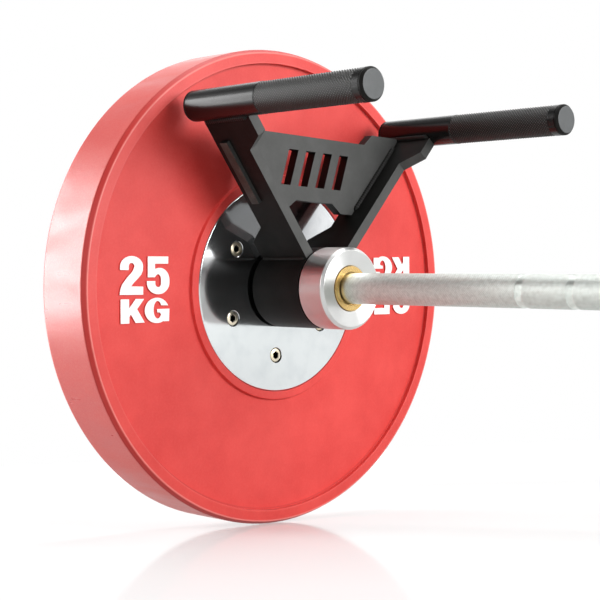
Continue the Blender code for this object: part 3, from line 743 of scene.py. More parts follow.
# %% Bore bush
BUSH_SIDES = 96
rear, front, inner, outer = reach("bore_bush")
turned_piece("bore_liner", [(front, outer), (front, inner), (rear, inner), (rear, outer)], 0.6 * MM,
             mirror_steel, "plate", "bore_bush", BUSH_SIDES, sharp_ends=True)
print("bore:", round(2 * inner / MM, 1), "mm across")

# %% [markdown]
# ## Socket screws, set out by Geometry Nodes
#
# Six socket cap screws hold each disc. They are all alike and lie on a circle, which is the
# plainest case of a repeat: make one screw, put a point where each belongs, and instance it on
# the points. The tree's inputs are the circle's radius, the count and the phase. Its end makes
# the instances real, because the exported model can't hold them.

# %% One socket screw
HEAD_RADIUS, HEAD_HEIGHT = 6.5 * MM, 8.0 * MM
SHANK_RADIUS = 4.0 * MM
SOCKET_WIDTH, SOCKET_DEPTH = 6.0 * MM, 4.0 * MM
HEAD_SUNK = 0.4 * MM
SCREW_SIDES = 48
SOCKET_EDGE = 0.5 * MM


def hexagon(angle, width):
    """The distance to the side of a hexagon of the given width, in one direction."""
    return width / 2 / math.cos((angle + math.pi / 6) % (math.pi / 3) - math.pi / 6)


def socket_screw(shank):
    """A cap screw along X, with its crowned head's top at 0 and a hexagon socket."""
    shape = bmesh.new()
    # The socket's walls are marked for painted shade.
    socket_shade_layer = shape.verts.layers.float.new("painted_socket_shade")
    rings = [(-SOCKET_DEPTH, "hex", SOCKET_WIDTH), (-SOCKET_EDGE, "hex", SOCKET_WIDTH),
             (0.0, "hex", SOCKET_WIDTH + 0.9 * MM), (-0.3 * MM, "round", HEAD_RADIUS - 0.9 * MM),
             (-0.55 * MM, "round", HEAD_RADIUS - 0.3 * MM), (-1.1 * MM, "round", HEAD_RADIUS),
             (-HEAD_HEIGHT, "round", HEAD_RADIUS), (-HEAD_HEIGHT, "round", SHANK_RADIUS),
             (-shank, "round", SHANK_RADIUS)]
    loops = []
    for along, kind, size in rings:
        loop = []
        for i in range(SCREW_SIDES):
            turn = math.tau * i / SCREW_SIDES
            out = hexagon(turn, size) if kind == "hex" else size
            loop.append(shape.verts.new((along, *around(out, turn))))
            loop[-1][socket_shade_layer] = 1.0 if kind == "hex" and along < 0 else 0.0
        loops.append(loop)
    shape.faces.new(loops[0])
    shape.faces.new(loops[-1])
    return bpy.data.objects.new("one_screw", skinned(shape, loops, "one_screw"))


screw_rear, screw_front, _, _ = reach("hub_screw_front_1")
one_screw = socket_screw(screw_front - screw_rear)
print("screw length:", round((screw_front - screw_rear) / MM, 1), "mm")

# %% Trees of Geometry Nodes


def new_geometry_tree(name, inputs):
    """A node group with a Geometry input and output and the named inputs."""
    tree = bpy.data.node_groups.new(name, "GeometryNodeTree")
    tree.interface.new_socket("Geometry", in_out="INPUT", socket_type="NodeSocketGeometry")
    tree.interface.new_socket("Geometry", in_out="OUTPUT", socket_type="NodeSocketGeometry")
    for label, kind in inputs.items():
        tree.interface.new_socket(label, in_out="INPUT", socket_type="NodeSocket" + kind)
    return tree, tree.nodes.new("NodeGroupInput").outputs, tree.nodes.new("NodeGroupOutput")


def end_tree(tree, result, geometry, material):
    """Ends a tree: its instances become real, and it gets its material."""
    real = add_node(tree, "GeometryNodeRealizeInstances", {"Geometry": geometry})
    connect(tree, result, {"Geometry": add_node(tree, "GeometryNodeSetMaterial", {
        "Geometry": real, "Material": material})})
    print(tree.name, "has", len(tree.nodes), "nodes")


def run_tree(tree, mesh, values):
    """The plain mesh that a tree makes of a mesh with the given inputs."""
    inputs = {item.identifier: values[item.name] for item in tree.interface.items_tree
              if item.in_out == "INPUT" and item.name in values}
    return modified(mesh, "NODES", inputs, node_group=tree)


print("a tree runs once, and leaves a plain mesh")

# %% Ring of screws
screw_tree, given, result = new_geometry_tree("ring_of_screws", {
    "Screw": "Object", "Count": "Int", "Circle Radius": "Float", "Phase": "Float",
    "Front": "Float", "Rear": "Float", "Material": "Material"})
tree = screw_tree
circle = add_node(tree, "GeometryNodeMeshCircle", {
    "Vertices": given["Count"], "Radius": given["Circle Radius"]})
upright = add_node(tree, "GeometryNodeTransform", {
    "Geometry": circle, "Rotation": (math.pi / 2, 0.0, math.pi / 2)})
screw = add_node(tree, "GeometryNodeObjectInfo", {"Object": given["Screw"]}, give="Geometry")
# Half a turn about the upright axis faces a row the other way without turning it inside out. The
# circle then runs the other way round, so the rear screws are set out from the mirrored phase.
rear_phase = add_node(tree, MATH, {0: math.pi, 1: given["Phase"]}, operation="SUBTRACT")
rows = []
for phase, level, half_turn in (
        (given["Phase"], given["Front"], 0.0), (rear_phase, given["Rear"], math.pi)):
    points = add_node(tree, "GeometryNodeTransform", {
        "Geometry": upright, "Rotation": add_node(tree, JOIN, {0: phase})})
    row = add_node(tree, "GeometryNodeInstanceOnPoints", {"Points": points, "Instance": screw})
    rows.append(add_node(tree, "GeometryNodeTransform", {
        "Geometry": row, "Translation": add_node(tree, JOIN, {0: level}),
        "Rotation": (0.0, 0.0, half_turn)}))
both = add_node(tree, "GeometryNodeJoinGeometry", {"Geometry": rows})
end_tree(tree, result, both, given["Material"])

# %% Both rows of screws
rear_disc_back = reach("hub_disc_rear")[0]
screw_mesh = run_tree(screw_tree, bpy.data.meshes.new("no_screws"), {
    "Screw": one_screw, "Count": SCREW_COUNT, "Circle Radius": SCREW_CIRCLE, "Phase": SCREW_PHASE,
    "Front": disc_front - HEAD_SUNK, "Rear": rear_disc_back + HEAD_SUNK, "Material": zinc})
bpy.data.objects.remove(one_screw)
screw_nodes = ["hub_screw_%s_%d" % (side, i) for side in ("front", "rear")
               for i in range(1, SCREW_COUNT + 1)]
screws = finish_piece("hub_screws", screw_mesh, zinc, "plate", screw_nodes)
print("screws:", len(screws.data.polygons), "faces for", len(screw_nodes), "screws")

# %% [markdown]
# ## The numbers on the plate
#
# The plate says how heavy it is in raised figures, on both faces and twice on each. They are red
# like the plate, and a roller puts white on their tops alone, so thin dark red walls draw a line
# round each. A figure is one closed outline of straight lines and parts of ellipses.

# %% Outlines of the figures
FIGURE_RELIEF, FIGURE_SUNK, FIGURE_EDGE = 1.4 * MM, 0.6 * MM, 0.15 * MM
FIGURE_TURN = math.radians(2.2)
FIGURE_GRID = (1.06 * MM, 0.90 * MM)
FIGURE_CORNER = (-186 * MM, -31.5 * MM)


def arc(centre_x, centre_y, radius_x, radius_y, start, end, steps=16):
    """Points along part of an ellipse, in degrees from the +x side."""
    turns = [math.radians(start + (end - start) * i / steps) for i in range(steps + 1)]
    return [(centre_x + radius_x * math.cos(turn), centre_y + radius_y * math.sin(turn))
            for turn in turns]


# Each outline is drawn on a grid of about one millimetre, from the lower left corner of the four.
FIGURES = {
    "2": [(0.2, 28.6), (24.4, 28.6), (24.4, 36.7), (12.0, 36.9), (14.6, 40.1), (19.1, 44.6),
          (22.4, 48.4), (23.9, 52.0)] + arc(12.5, 56.0, 11.9, 10.4, 0, 180) +
         [(0.6, 52.7), (9.4, 52.7)] + arc(12.35, 56.1, 2.8, 3.5, 180, 0) +
         [(14.0, 52.8), (11.9, 49.8), (8.6, 46.3), (5.4, 42.5), (2.8, 38.7), (1.0, 34.2)],
    "5": [(29.0, 66.3), (50.6, 66.3), (50.5, 59.1), (36.7, 59.0), (36.7, 54.1)] +
         arc(41.4, 43.4, 10.5, 11.7, 112, 0) + arc(40.0, 40.4, 11.9, 11.5, 0, -180) +
         [(28.1, 42.1), (37.0, 42.1)] + arc(39.9, 39.5, 2.9, 3.3, 180, 360) +
         arc(39.7, 43.7, 3.1, 4.9, 0, 135) + [(36.4, 45.7), (29.0, 45.6)],
    "K": [(1.2, 24.4), (9.9, 24.4), (10.1, 15.8), (16.6, 24.7), (25.5, 24.7), (18.2, 14.7),
          (26.2, 1.3), (16.6, 1.2), (11.75, 9.4), (10.3, 7.2), (10.3, 0.8), (1.4, 0.6)],
    "G": arc(38.7, 13.1, 12.8, 12.6, 22, 305, 30) +
         [(45.4, 2.1), (51.6, 2.3), (51.9, 14.7), (38.7, 14.5), (39.0, 11.1), (41.6, 10.9)] +
         arc(39.4, 13.8, 4.2, 8.6, -32, -330, 24),
}
print("figures:", ", ".join(FIGURES))

# %% Raise a figure


def raised(outline, low, high):
    """A closed solid with lightly broken edges between two levels along the bar."""
    shape = bmesh.new()
    ends = [[shape.verts.new((level, y, z)) for y, z in outline] for level in (low, high)]
    for corners in ends:
        shape.faces.new(corners)
    return modified(skinned(shape, ends, "figure"), "BEVEL", width=FIGURE_EDGE, segments=2,
                    limit_method="ANGLE", angle_limit=math.radians(50))


print("relief of the figures:", FIGURE_RELIEF / MM, "mm")

# %% Set the figures on both faces
# A face that looks along the bar is nearly square to it: the cosine is above this.
FACES_ALONG = 0.9
face_along = plate_middle + face_level
to_the_back = Matrix.Translation((2 * plate_middle, 0, 0)) @ Matrix.Rotation(math.pi, 4, "Z")
copies = []
for outline in FIGURES.values():
    places = [(FIGURE_CORNER[0] + x * FIGURE_GRID[0], FIGURE_CORNER[1] + y * FIGURE_GRID[1])
              for x, y in outline]
    figure = raised(places, face_along - FIGURE_SUNK, face_along + FIGURE_RELIEF)
    for half_turn in (0.0, math.pi):
        turn = Matrix.Rotation(FIGURE_TURN + half_turn, 4, "X")
        for placing in (turn, to_the_back @ turn):
            copies.append(figure.copy())
            copies[-1].transform(placing)
figures = finish_piece("plate_figures", joined(copies, "figures"), rubber, "plate")
tops = recoat(figures, white_rubber, lambda face: abs(face.normal.dot(bar_line)) > FACES_ALONG)
print("figure faces:", len(figures.data.polygons), "of them white:", tops)

# %% [markdown]
# ## Sleeves, collars and bushings
#
# Each end of the bar carries a chromed sleeve that turns on bronze bushings, with a collar that
# stops the plates and a cap that closes the end. The two ends are alike, so one table holds the
# outlines: they are written for the near end, and the far end counts the same distances back from
# its own shoulder. A counterbore in the bushing's face holds grease, and shows as a dark ring.

# %% Outlines for the ends of the bar
COLLAR_CHAMFER, COLLAR_DISH = 2.6 * MM, 1.2 * MM
BORE_EDGE, GREASE_RISE, GREASE_DEPTH = 0.6 * MM, 0.9 * MM, 3.0 * MM
SLEEVE_CHAMFER = 1.5 * MM
CAP_RECESS_RADIUS, CAP_RECESS_DEPTH, CAP_FLANGE = 9.0 * MM, 1.5 * MM, 2.0 * MM

sleeve_rear, sleeve_front, sleeve_bore, sleeve_radius = reach("sleeve_near")
_, collar_front, collar_bore, collar_radius = reach("collar_near")
flange_rear, flange_front, bushing_bore, flange_radius = reach("bushing_inner_near")
cap_rear, cap_front, _, cap_radius = reach("end_cap_near")
flange_back = sleeve_front + GAP
grease_radius = bushing_bore + GREASE_RISE
inside_sleeve, round_sleeve = sleeve_bore - GAP, sleeve_radius + GAP

# Each row is a piece, the node it stands for, its metal and slot, its edges' round and outline.
END_PIECES = (
    ("chrome_sleeve", "sleeve", chrome, "chrome", 0.4 * MM, [
        (sleeve_front, sleeve_bore), (sleeve_front, sleeve_radius),
        (sleeve_rear + SLEEVE_CHAMFER, sleeve_radius), (sleeve_rear, sleeve_radius - SLEEVE_CHAMFER),
        (sleeve_rear, sleeve_bore)]),
    ("chrome_collar", "collar", satin_chrome, "chrome", 0.5 * MM, [
        (collar_front - COLLAR_DISH - BORE_EDGE, collar_bore),
        (collar_front - COLLAR_DISH, collar_bore + BORE_EDGE),
        (collar_front, collar_radius - COLLAR_CHAMFER), (collar_front - COLLAR_CHAMFER, collar_radius),
        (0.0, collar_radius), (0.0, round_sleeve), (flange_back, round_sleeve),
        (flange_back, collar_bore)]),
    ("bronze_bushing", "bushing_inner", bronze, "bronze", 0.35 * MM, [
        (flange_front - GREASE_DEPTH, bushing_bore), (flange_front - GREASE_DEPTH, grease_radius),
        (flange_front, grease_radius), (flange_front, flange_radius), (flange_back, flange_radius),
        (flange_back, inside_sleeve), (flange_rear, inside_sleeve), (flange_rear, bushing_bore)]),
    ("chrome_end_cap", "end_cap", chrome, "chrome", 0.4 * MM, [
        (cap_front, 0.0), (cap_front, inside_sleeve), (cap_rear + CAP_FLANGE, inside_sleeve),
        (cap_rear + CAP_FLANGE, cap_radius), (cap_rear, cap_radius), (cap_rear, CAP_RECESS_RADIUS),
        (cap_rear + CAP_RECESS_DEPTH, CAP_RECESS_RADIUS), (cap_rear + CAP_RECESS_DEPTH, 0.0)]),
)
print("outlines:", [row[0] for row in END_PIECES])

# %% Both ends of the bar
for side in ("near", "far"):
    for name, node, metal, slot, edge, outline in END_PIECES:
        if side == "far":
            outline = [(SHOULDER_SPAN - x, r) for x, r in outline]
        turned_piece(name + "_" + side, outline, edge, metal, side + "_sleeve", node + "_" + side)
    print(side, "end: sleeve, collar, bushing and cap")

# %% [markdown]
# ## The shaft
#
# The shaft is one round bar. Its knurl is in the steel's material, and its two ring marks on each
# side are real grooves: shallow smooth bands, 7 mm wide, that show a lifter where to hold. The
# outline simply steps in by a fraction of a millimetre at each mark.

# %% Shaft with ring marks
MARK_DEPTH = 0.35 * MM
GROOVE_DEPTH, RING_THICKNESS, END_LAND = 1.5 * MM, 2.0 * MM, 3.0 * MM

shaft_rear, shaft_front, _, shaft_radius = reach("shaft")
shaft_middle = (shaft_rear + shaft_front) / 2
half_length = (shaft_front - shaft_rear) / 2
land = half_length - END_LAND
groove = land - RING_THICKNESS - 2 * GAP
half_outline = []
for mark in sorted(abs(m - shaft_middle) for m in RING_MARKS[2:]):
    half_outline += [
        (mark - MARK_HALF, shaft_radius), (mark - MARK_HALF + MARK_DEPTH, shaft_radius - MARK_DEPTH),
        (mark + MARK_HALF - MARK_DEPTH, shaft_radius - MARK_DEPTH), (mark + MARK_HALF, shaft_radius)]
half_outline += [
    (groove, shaft_radius), (groove, shaft_radius - GROOVE_DEPTH),
    (land, shaft_radius - GROOVE_DEPTH), (land, shaft_radius),
    (half_length - GROOVE_DEPTH, shaft_radius), (half_length, shaft_radius - GROOVE_DEPTH),
    (half_length, 0.0)]
shaft_piece = turned_piece("bar_shaft_steel", both_halves(half_outline, shaft_middle), 0.2 * MM,
                           bar_steel, "bar_shaft", "shaft")
print("shaft faces:", len(shaft_piece.data.polygons))

# %% [markdown]
# ## Nodes that need only a finish
#
# The washers, retaining rings, outer bushings and hub core are hidden inside the bar and plate.
# Their solids already have the right shape, so they keep it and only get their metal.

# %% Metal for the hidden nodes
for node in nodes:
    if node.startswith(("thrust_washer", "retaining_ring", "hub_core", "bushing_outer")):
        mesh = nodes[node].data
        mesh.materials.clear()
        mesh.materials.append(bronze if node.startswith("bushing") else plain_steel)
        print(node, "->", mesh.materials[0].name)

# %% [markdown]
# ## The handle's tube and liner
#
# The handle turns on a short thick tube. A nylon liner inside it, a little longer than the tube,
# runs on the sleeve and keeps steel off chrome. The tube was parted off in a lathe, so the edge
# towards the plate is sharp, and only the front ones are lightly broken.

# %% Handle tube and liner
LINER_CHAMFER = 1.0 * MM

tube_rear, tube_front, inner, tube_radius = reach("handle_tube")
turned_piece("turning_tube", [
    (tube_rear, tube_radius), (tube_front, tube_radius), (tube_front, inner), (tube_rear, inner)],
    0.3 * MM, tube_coat, "handle", "handle_tube", sharp_ends=True)

rear, front, inner, outer = reach("handle_liner")
turned_piece("nylon_liner", [
    (front, inner + LINER_CHAMFER), (front, outer), (rear, outer), (rear, inner + LINER_CHAMFER),
    (rear + LINER_CHAMFER, inner), (front - LINER_CHAMFER, inner)],
    0.3 * MM, nylon, "handle", "handle_liner")
print("tube length:", round((tube_front - tube_rear) / MM, 1), "mm")

# %% [markdown]
# ## Arms and cross plate
#
# These are flat plates cut by a laser from 10 mm steel, so their solids already have the right outline,
# and what they lack is the broken edge that the coat gives them. A copy of each CAD mesh is merged, its
# flat faces are joined into large ones, and a narrow bevel runs along every real edge. The bevel's angle
# limit leaves the coped hollows for the tubes alone. The faces that look along the bar get a grey coat,
# which is a painted sheen of the key light, and those that look aside from it the plain black one.

# %% Plates with broken edges
EDGE_BREAK = 0.7 * MM
ARM_ANGLE = math.radians(38.4)
ARM_THICKNESS = 9.6 * MM
# A face that looks aside from the bar: the cosine is below this.
FACES_ASIDE = 0.15


def broken_edges(node):
    """A copy of a flat CAD plate with narrow bevels along its edges."""
    shape = bmesh.new()
    shape.from_mesh(nodes[node].data)
    bmesh.ops.remove_doubles(shape, verts=shape.verts, dist=0.01 * MM)
    bmesh.ops.dissolve_limit(
        shape, angle_limit=math.radians(1.0), verts=shape.verts, edges=shape.edges)
    return modified(to_mesh(shape, "merged_" + node), "BEVEL", width=EDGE_BREAK, segments=3,
                    limit_method="ANGLE", angle_limit=math.radians(40))


for node, name in (("arm_left", "left_arm"), ("arm_right", "right_arm"), ("cross_plate", "cross_web")):
    plate = finish_piece(
        name, broken_edges(node), front_sheen_coat, "handle", [node], placed=True)
    # Fronts keep the grey of painted sheen; sides get the plain black coat.
    black = recoat(plate, side_coat, lambda face: abs(face.normal.dot(bar_line)) < FACES_ASIDE)
    print(name, "faces:", len(plate.data.polygons), "of them black:", black)

# %% Ground ends of the tabs
# The cross web's tabs come through the arms, and their ends were ground and coated with them.


def on_a_tab(face):
    """Whether a face of the cross web lies beyond the outer side of an arm."""
    middle = TO_BAR @ face.center
    aside = abs(middle.y) * math.cos(ARM_ANGLE) - middle.z * math.sin(ARM_ANGLE)
    return aside > ARM_THICKNESS / 2 + 0.2 * MM


print("ground faces:", recoat(plate, worn_coat, on_a_tab))

# %% [markdown]
# ## Knurled grips, by a rule in Geometry Nodes
#
# Each grip is a tube with a diamond knurl over most of its length. This knurl is coarse enough to
# show, so it is real relief, drawn at a pitch of 2.9 mm where the real one has about 2 mm, because
# a pixel is about a millimetre here. The tube is turned with four points to each diamond both
# ways, and a tree pushes each point of the outer wall in by the depth of two crossing triangle
# waves. It also stores the height of each point for the grips' material. The smooth bands lie
# outside the tree's start and end.

# %% The knurl rule
knurl_tree, given, result = new_geometry_tree("diamond_knurl", {
    "Radius": "Float", "Around": "Float", "Pitch": "Float", "Depth": "Float",
    "Start": "Float", "End": "Float", "Centre Y": "Float", "Centre Z": "Float",
    "Material": "Material"})
tree = knurl_tree
grip_centre = add_node(tree, JOIN, {1: given["Centre Y"], 2: given["Centre Z"]})
from_centre = add_node(tree, VECTOR, {
    0: add_node(tree, "GeometryNodeInputPosition"), 1: grip_centre}, operation="SUBTRACT")
along, out, angle = round_the_bar(tree, from_centre)
turns = add_node(tree, MATH, {0: angle, 1: given["Around"]}, operation="MULTIPLY")
turns = add_node(tree, MATH, {0: turns, 1: math.tau}, operation="DIVIDE")
from_start = add_node(tree, MATH, {0: along, 1: given["Start"]}, operation="SUBTRACT")
steps = add_node(tree, MATH, {0: from_start, 1: given["Pitch"]}, operation="DIVIDE")
height = crossing_grooves(tree, turns, steps)
height = add_node(tree, MATH, {0: height, 1: 2.0}, operation="MULTIPLY")
print("knurl tree nodes so far:", len(tree.nodes))

# %% Where the knurl cuts
wall = add_node(tree, MATH, {0: given["Radius"], 1: 0.1 * MM}, operation="SUBTRACT")
cut_here = add_node(tree, MATH, {0: out, 1: wall}, operation="GREATER_THAN")
for more, less in ((along, given["Start"]), (given["End"], along)):
    between = add_node(tree, MATH, {0: more, 1: less}, operation="GREATER_THAN")
    cut_here = add_node(tree, MATH, {0: cut_here, 1: between}, operation="MULTIPLY")
drop = add_node(tree, MATH, {0: height, 1: 1.0}, operation="SUBTRACT")
drop = add_node(tree, MATH, {0: drop, 1: given["Depth"]}, operation="MULTIPLY")
drop = add_node(tree, MATH, {0: drop, 1: cut_here}, operation="MULTIPLY")
outwards = add_node(tree, VECTOR, {0: from_centre, 1: (0.0, 1.0, 1.0)}, operation="MULTIPLY")
outwards = add_node(tree, VECTOR, {0: outwards}, operation="NORMALIZE")
# The height has to be that of the untouched tube, so it is stored before the points move.
stored = add_node(tree, "GeometryNodeStoreNamedAttribute", {
    "Geometry": given["Geometry"], "Name": "knurl_height",
    "Value": add_node(tree, MATH, {0: height, 1: cut_here}, operation="MULTIPLY")})
pressed = add_node(tree, "GeometryNodeSetPosition", {
    "Geometry": stored,
    "Offset": add_node(tree, VECTOR, {0: outwards, "Scale": drop}, operation="SCALE")})
end_tree(tree, result, pressed, given["Material"])

# %% Turn and knurl the grips
GRIP_START, GRIP_DIAMONDS, POINTS_PER_DIAMOND = 43.1 * MM, 40, 4
GRIP_PITCH, GRIP_AROUND, GRIP_DEPTH = 2.9 * MM, 32, 0.60 * MM
GRIP_END = GRIP_START + GRIP_DIAMONDS * GRIP_PITCH
GRIP_WALL, JUST_INSIDE = 3.0 * MM, 0.01 * MM
CAP_THICKNESS, CAP_SPIGOT, CAP_CHAMFER, CAP_SIDES = 4.0 * MM, 8.0 * MM, 2.0 * MM, 96


def grip_line(side):
    """The y and z of a grip's own axis in the bar's frame, and its radius."""
    places = [TO_BAR @ v.co for v in nodes["grip_" + side].data.vertices]
    ys, zs = [p.y for p in places], [p.z for p in places]
    return (min(ys) + max(ys)) / 2, (min(zs) + max(zs)) / 2, (max(ys) - min(ys)) / 2


for side in ("left", "right"):
    rear, front, _, _ = reach("grip_" + side)
    y, z, radius = grip_line(side)
    bore = radius - GRIP_WALL
    outline = [(rear, bore), (rear, radius)]
    outline += [(GRIP_START + i * GRIP_PITCH / POINTS_PER_DIAMOND, radius)
                for i in range(POINTS_PER_DIAMOND * GRIP_DIAMONDS + 1)]
    outline += [(front, radius), (front, bore)]
    blank = lathe(outline, POINTS_PER_DIAMOND * GRIP_AROUND, (y, z))
    grip = run_tree(knurl_tree, blank, {
        "Radius": radius, "Around": float(GRIP_AROUND), "Pitch": GRIP_PITCH, "Depth": GRIP_DEPTH,
        "Start": GRIP_START + JUST_INSIDE, "End": GRIP_END - JUST_INSIDE,
        "Centre Y": y, "Centre Z": z, "Material": grip_coat})
    piece = finish_piece(
        "knurled_grip_" + side, grip, grip_coat, "handle", ["grip_" + side])
    print(piece.name, "faces:", len(piece.data.polygons))
    for end, facing in (("tip", 1), ("root", -1)):
        cap = "grip_%s_cap_%s" % (end, side)
        face = reach(cap)[1 if facing > 0 else 0]
        corners = [(0.0, 0.0), (0.0, radius - CAP_CHAMFER), (-CAP_CHAMFER, radius),
                   (-CAP_THICKNESS, radius), (-CAP_THICKNESS, bore - GAP),
                   (-CAP_THICKNESS - CAP_SPIGOT, bore - GAP), (-CAP_THICKNESS - CAP_SPIGOT, 0.0)]
        plug = turned_piece(
            "grip_%s_plug_%s" % (end, side), [(face + facing * x, r) for x, r in corners], 0.4 * MM,
            cap_sheen_coat, "handle", cap, CAP_SIDES, centre=(y, z))
        # The plug's face keeps the grey of painted sheen; its sides get the black coat.
        recoat(plug, side_coat, lambda wall: abs(wall.normal.dot(bar_line)) < FACES_ALONG)

# %% [markdown]
# ## Weld beads
#
# The handle is welded from plates and tubes, and each joint shows a bead: a rounded rope of metal
# with a ripple for every pulse of the torch. A bead follows a path, so it is a job for a curve.
# The tree swells and narrows the curve's radius in a steady ripple, adds a little noise, and
# sweeps a circle along it. Half of the rope is buried in the joint.

# %% The bead rule
bead_tree, given, result = new_geometry_tree("weld_bead", {
    "Width": "Float", "Ripple": "Float", "Ripple Length": "Float", "Unevenness": "Float",
    "Seed": "Float", "Sides": "Int", "Step": "Float", "Material": "Material"})
tree = bead_tree
path = add_node(tree, "GeometryNodeMeshToCurve", {"Mesh": given["Geometry"]})
fine = add_node(tree, "GeometryNodeResampleCurve", {
    "Curve": path, "Length": given["Step"]}, mode="LENGTH")
run = add_node(tree, "GeometryNodeSplineParameter", give="Length")
ripple = add_node(tree, MATH, {0: run, 1: given["Ripple Length"]}, operation="DIVIDE")
ripple = add_node(tree, MATH, {0: ripple, 1: 0.5}, operation="PINGPONG")
ripple = add_node(tree, MATH, {0: ripple, 1: 0.25}, operation="SUBTRACT")
swell = add_node(tree, MATH, {0: ripple, 1: given["Ripple"], 2: 1.0}, operation="MULTIPLY_ADD")
print("bead tree nodes so far:", len(tree.nodes))

# %% Round ends and an uneven skin
LUMPS_PER_METRE = 220.0
total = add_node(tree, "GeometryNodeSplineLength", give="Length")
left_over = add_node(tree, MATH, {0: total, 1: run}, operation="SUBTRACT")
to_end = add_node(tree, MATH, {0: run, 1: left_over}, operation="MINIMUM")
to_end = add_node(tree, MATH, {0: to_end, 1: given["Width"]}, operation="DIVIDE")
taper = add_node(tree, MATH, {0: to_end, 1: 1.6, 2: 0.04}, operation="MULTIPLY_ADD", use_clamp=True)
taper = add_node(tree, MATH, {0: taper}, operation="SQRT")
size = add_node(tree, MATH, {0: given["Width"], 1: swell}, operation="MULTIPLY")
size = add_node(tree, MATH, {0: size, 1: taper}, operation="MULTIPLY")
ring = add_node(tree, "GeometryNodeCurvePrimitiveCircle", {
    "Resolution": given["Sides"], "Radius": 0.5})
rope = add_node(tree, "GeometryNodeCurveToMesh", {
    "Curve": fine, "Profile Curve": ring, "Scale": size, "Fill Caps": True})
noise = add_node(tree, NOISE, {"W": given["Seed"], "Scale": LUMPS_PER_METRE},
                 give="Color", noise_dimensions="4D")
shake = add_node(tree, VECTOR, {0: noise, 1: (0.5, 0.5, 0.5)}, operation="SUBTRACT")
uneven = add_node(tree, "GeometryNodeSetPosition", {
    "Geometry": rope,
    "Offset": add_node(tree, VECTOR, {0: shake, "Scale": given["Unevenness"]}, operation="SCALE")})
end_tree(tree, result, uneven, given["Material"])

# %% Where the beads run
TUBE_BEAD, GRIP_BEAD, WEB_BEAD, TAB_BEAD = 4.2 * MM, 5.0 * MM, 5.5 * MM, 3.6 * MM
TAB_START, TAB_END = 100.0 * MM, 165.0 * MM
WEB_START, WEB_END = 92.0 * MM, 176.0 * MM
GRIP_DISTANCE, GRIP_WELD = 200.0 * MM, 38.0 * MM
cross_rear, cross_front, _, _ = reach("cross_plate")
arm_front = reach("arm_right")[1]
grip_radius = grip_line("right")[2]
half_arm = ARM_THICKNESS / 2
foot = math.sqrt(tube_radius ** 2 - half_arm ** 2)
under_grip = GRIP_DISTANCE - math.sqrt(grip_radius ** 2 - half_arm ** 2) - 0.4 * MM


def by_arm(sign, along, up, aside):
    """A place beside an arm: along the bar, up the arm, and aside from its middle plane."""
    sine, cosine = math.sin(ARM_ANGLE), math.cos(ARM_ANGLE)
    return Vector((along, sign * (up * sine + aside * cosine), up * cosine - aside * sine))


# Each bead has a width, a number of steps, its arm's side, where it starts and ends along the
# bar and up the arm, and its place aside from the arm's middle plane.
beads = []
for sign in (-1, 1):
    for aside in (-half_arm, half_arm):
        beads.append((TUBE_BEAD, 12, sign, (tube_rear + 2 * MM, tube_front - 2 * MM),
                      (foot, foot), aside))
        beads.append((GRIP_BEAD, 12, sign, (tube_front - GRIP_WELD, arm_front - 2 * MM),
                      (under_grip, under_grip), aside + math.copysign(0.6 * MM, aside)))
    for along in (cross_front + 0.6 * MM, cross_rear - 0.6 * MM):
        beads.append((WEB_BEAD, 24, sign, (along, along),
                      (WEB_START, WEB_END), -half_arm - 0.5 * MM))
    along = cross_rear - 0.8 * MM
    beads.append((TAB_BEAD, 24, sign, (along, along), (TAB_START + 1 * MM, TAB_END - 1 * MM),
                  half_arm + 0.4 * MM))
print("weld beads:", len(beads))

# %% Lay the beads
laid = []
for number, (width, steps, sign, alongs, ups, aside) in enumerate(beads):
    start, end = (by_arm(sign, alongs[i], ups[i], aside) for i in (0, 1))
    shape = bmesh.new()
    points = [shape.verts.new(start.lerp(end, i / steps)) for i in range(steps + 1)]
    for first, second in zip(points, points[1:]):
        shape.edges.new((first, second))
    laid.append(run_tree(bead_tree, to_mesh(shape, "bead_path"), {
        "Width": width, "Ripple": 0.30, "Ripple Length": 2.6 * MM, "Unevenness": 0.7 * MM,
        "Seed": float(number), "Sides": 14, "Step": 0.65 * MM, "Material": weld_coat}))
welds = finish_piece("handle_welds", joined(laid, "welds"), weld_coat, "handle")
for edge in welds.data.edges:
    edge.use_edge_sharp = False
print("weld faces:", len(welds.data.polygons))

# %% [markdown]
# ## Floor and background
#
# The set stands on a glossy white studio floor against white. At the camera's low angle such a
# floor mirrors what stands on it, by Fresnel's law, and a faint red image of the plate hangs under
# it. The polish fades with the distance from the plate's foot, so the image fades too, and the
# floor glows a little towards the camera, more with the distance, so it meets the background
# without a line. To every other ray it is a grey floor, and so it keeps its soft shadows. The
# background is white because the world says so to rays from the camera, not because more light
# falls on the object.

# %% Floor
FLOOR_RADIUS, FLOOR_CLEARANCE = 4.0, 0.05 * MM
low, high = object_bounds()
shape = bmesh.new()
bmesh.ops.create_circle(shape, cap_ends=True, segments=128, radius=FLOOR_RADIUS)
floor_mesh = to_mesh(shape, "studio_floor")
floor_mesh.transform(Matrix.Translation((0.0, 0.0, low.z - FLOOR_CLEARANCE)))
floor = new_object("studio_floor", floor_mesh)
print("floor at", round(low.z / MM, 2), "mm")

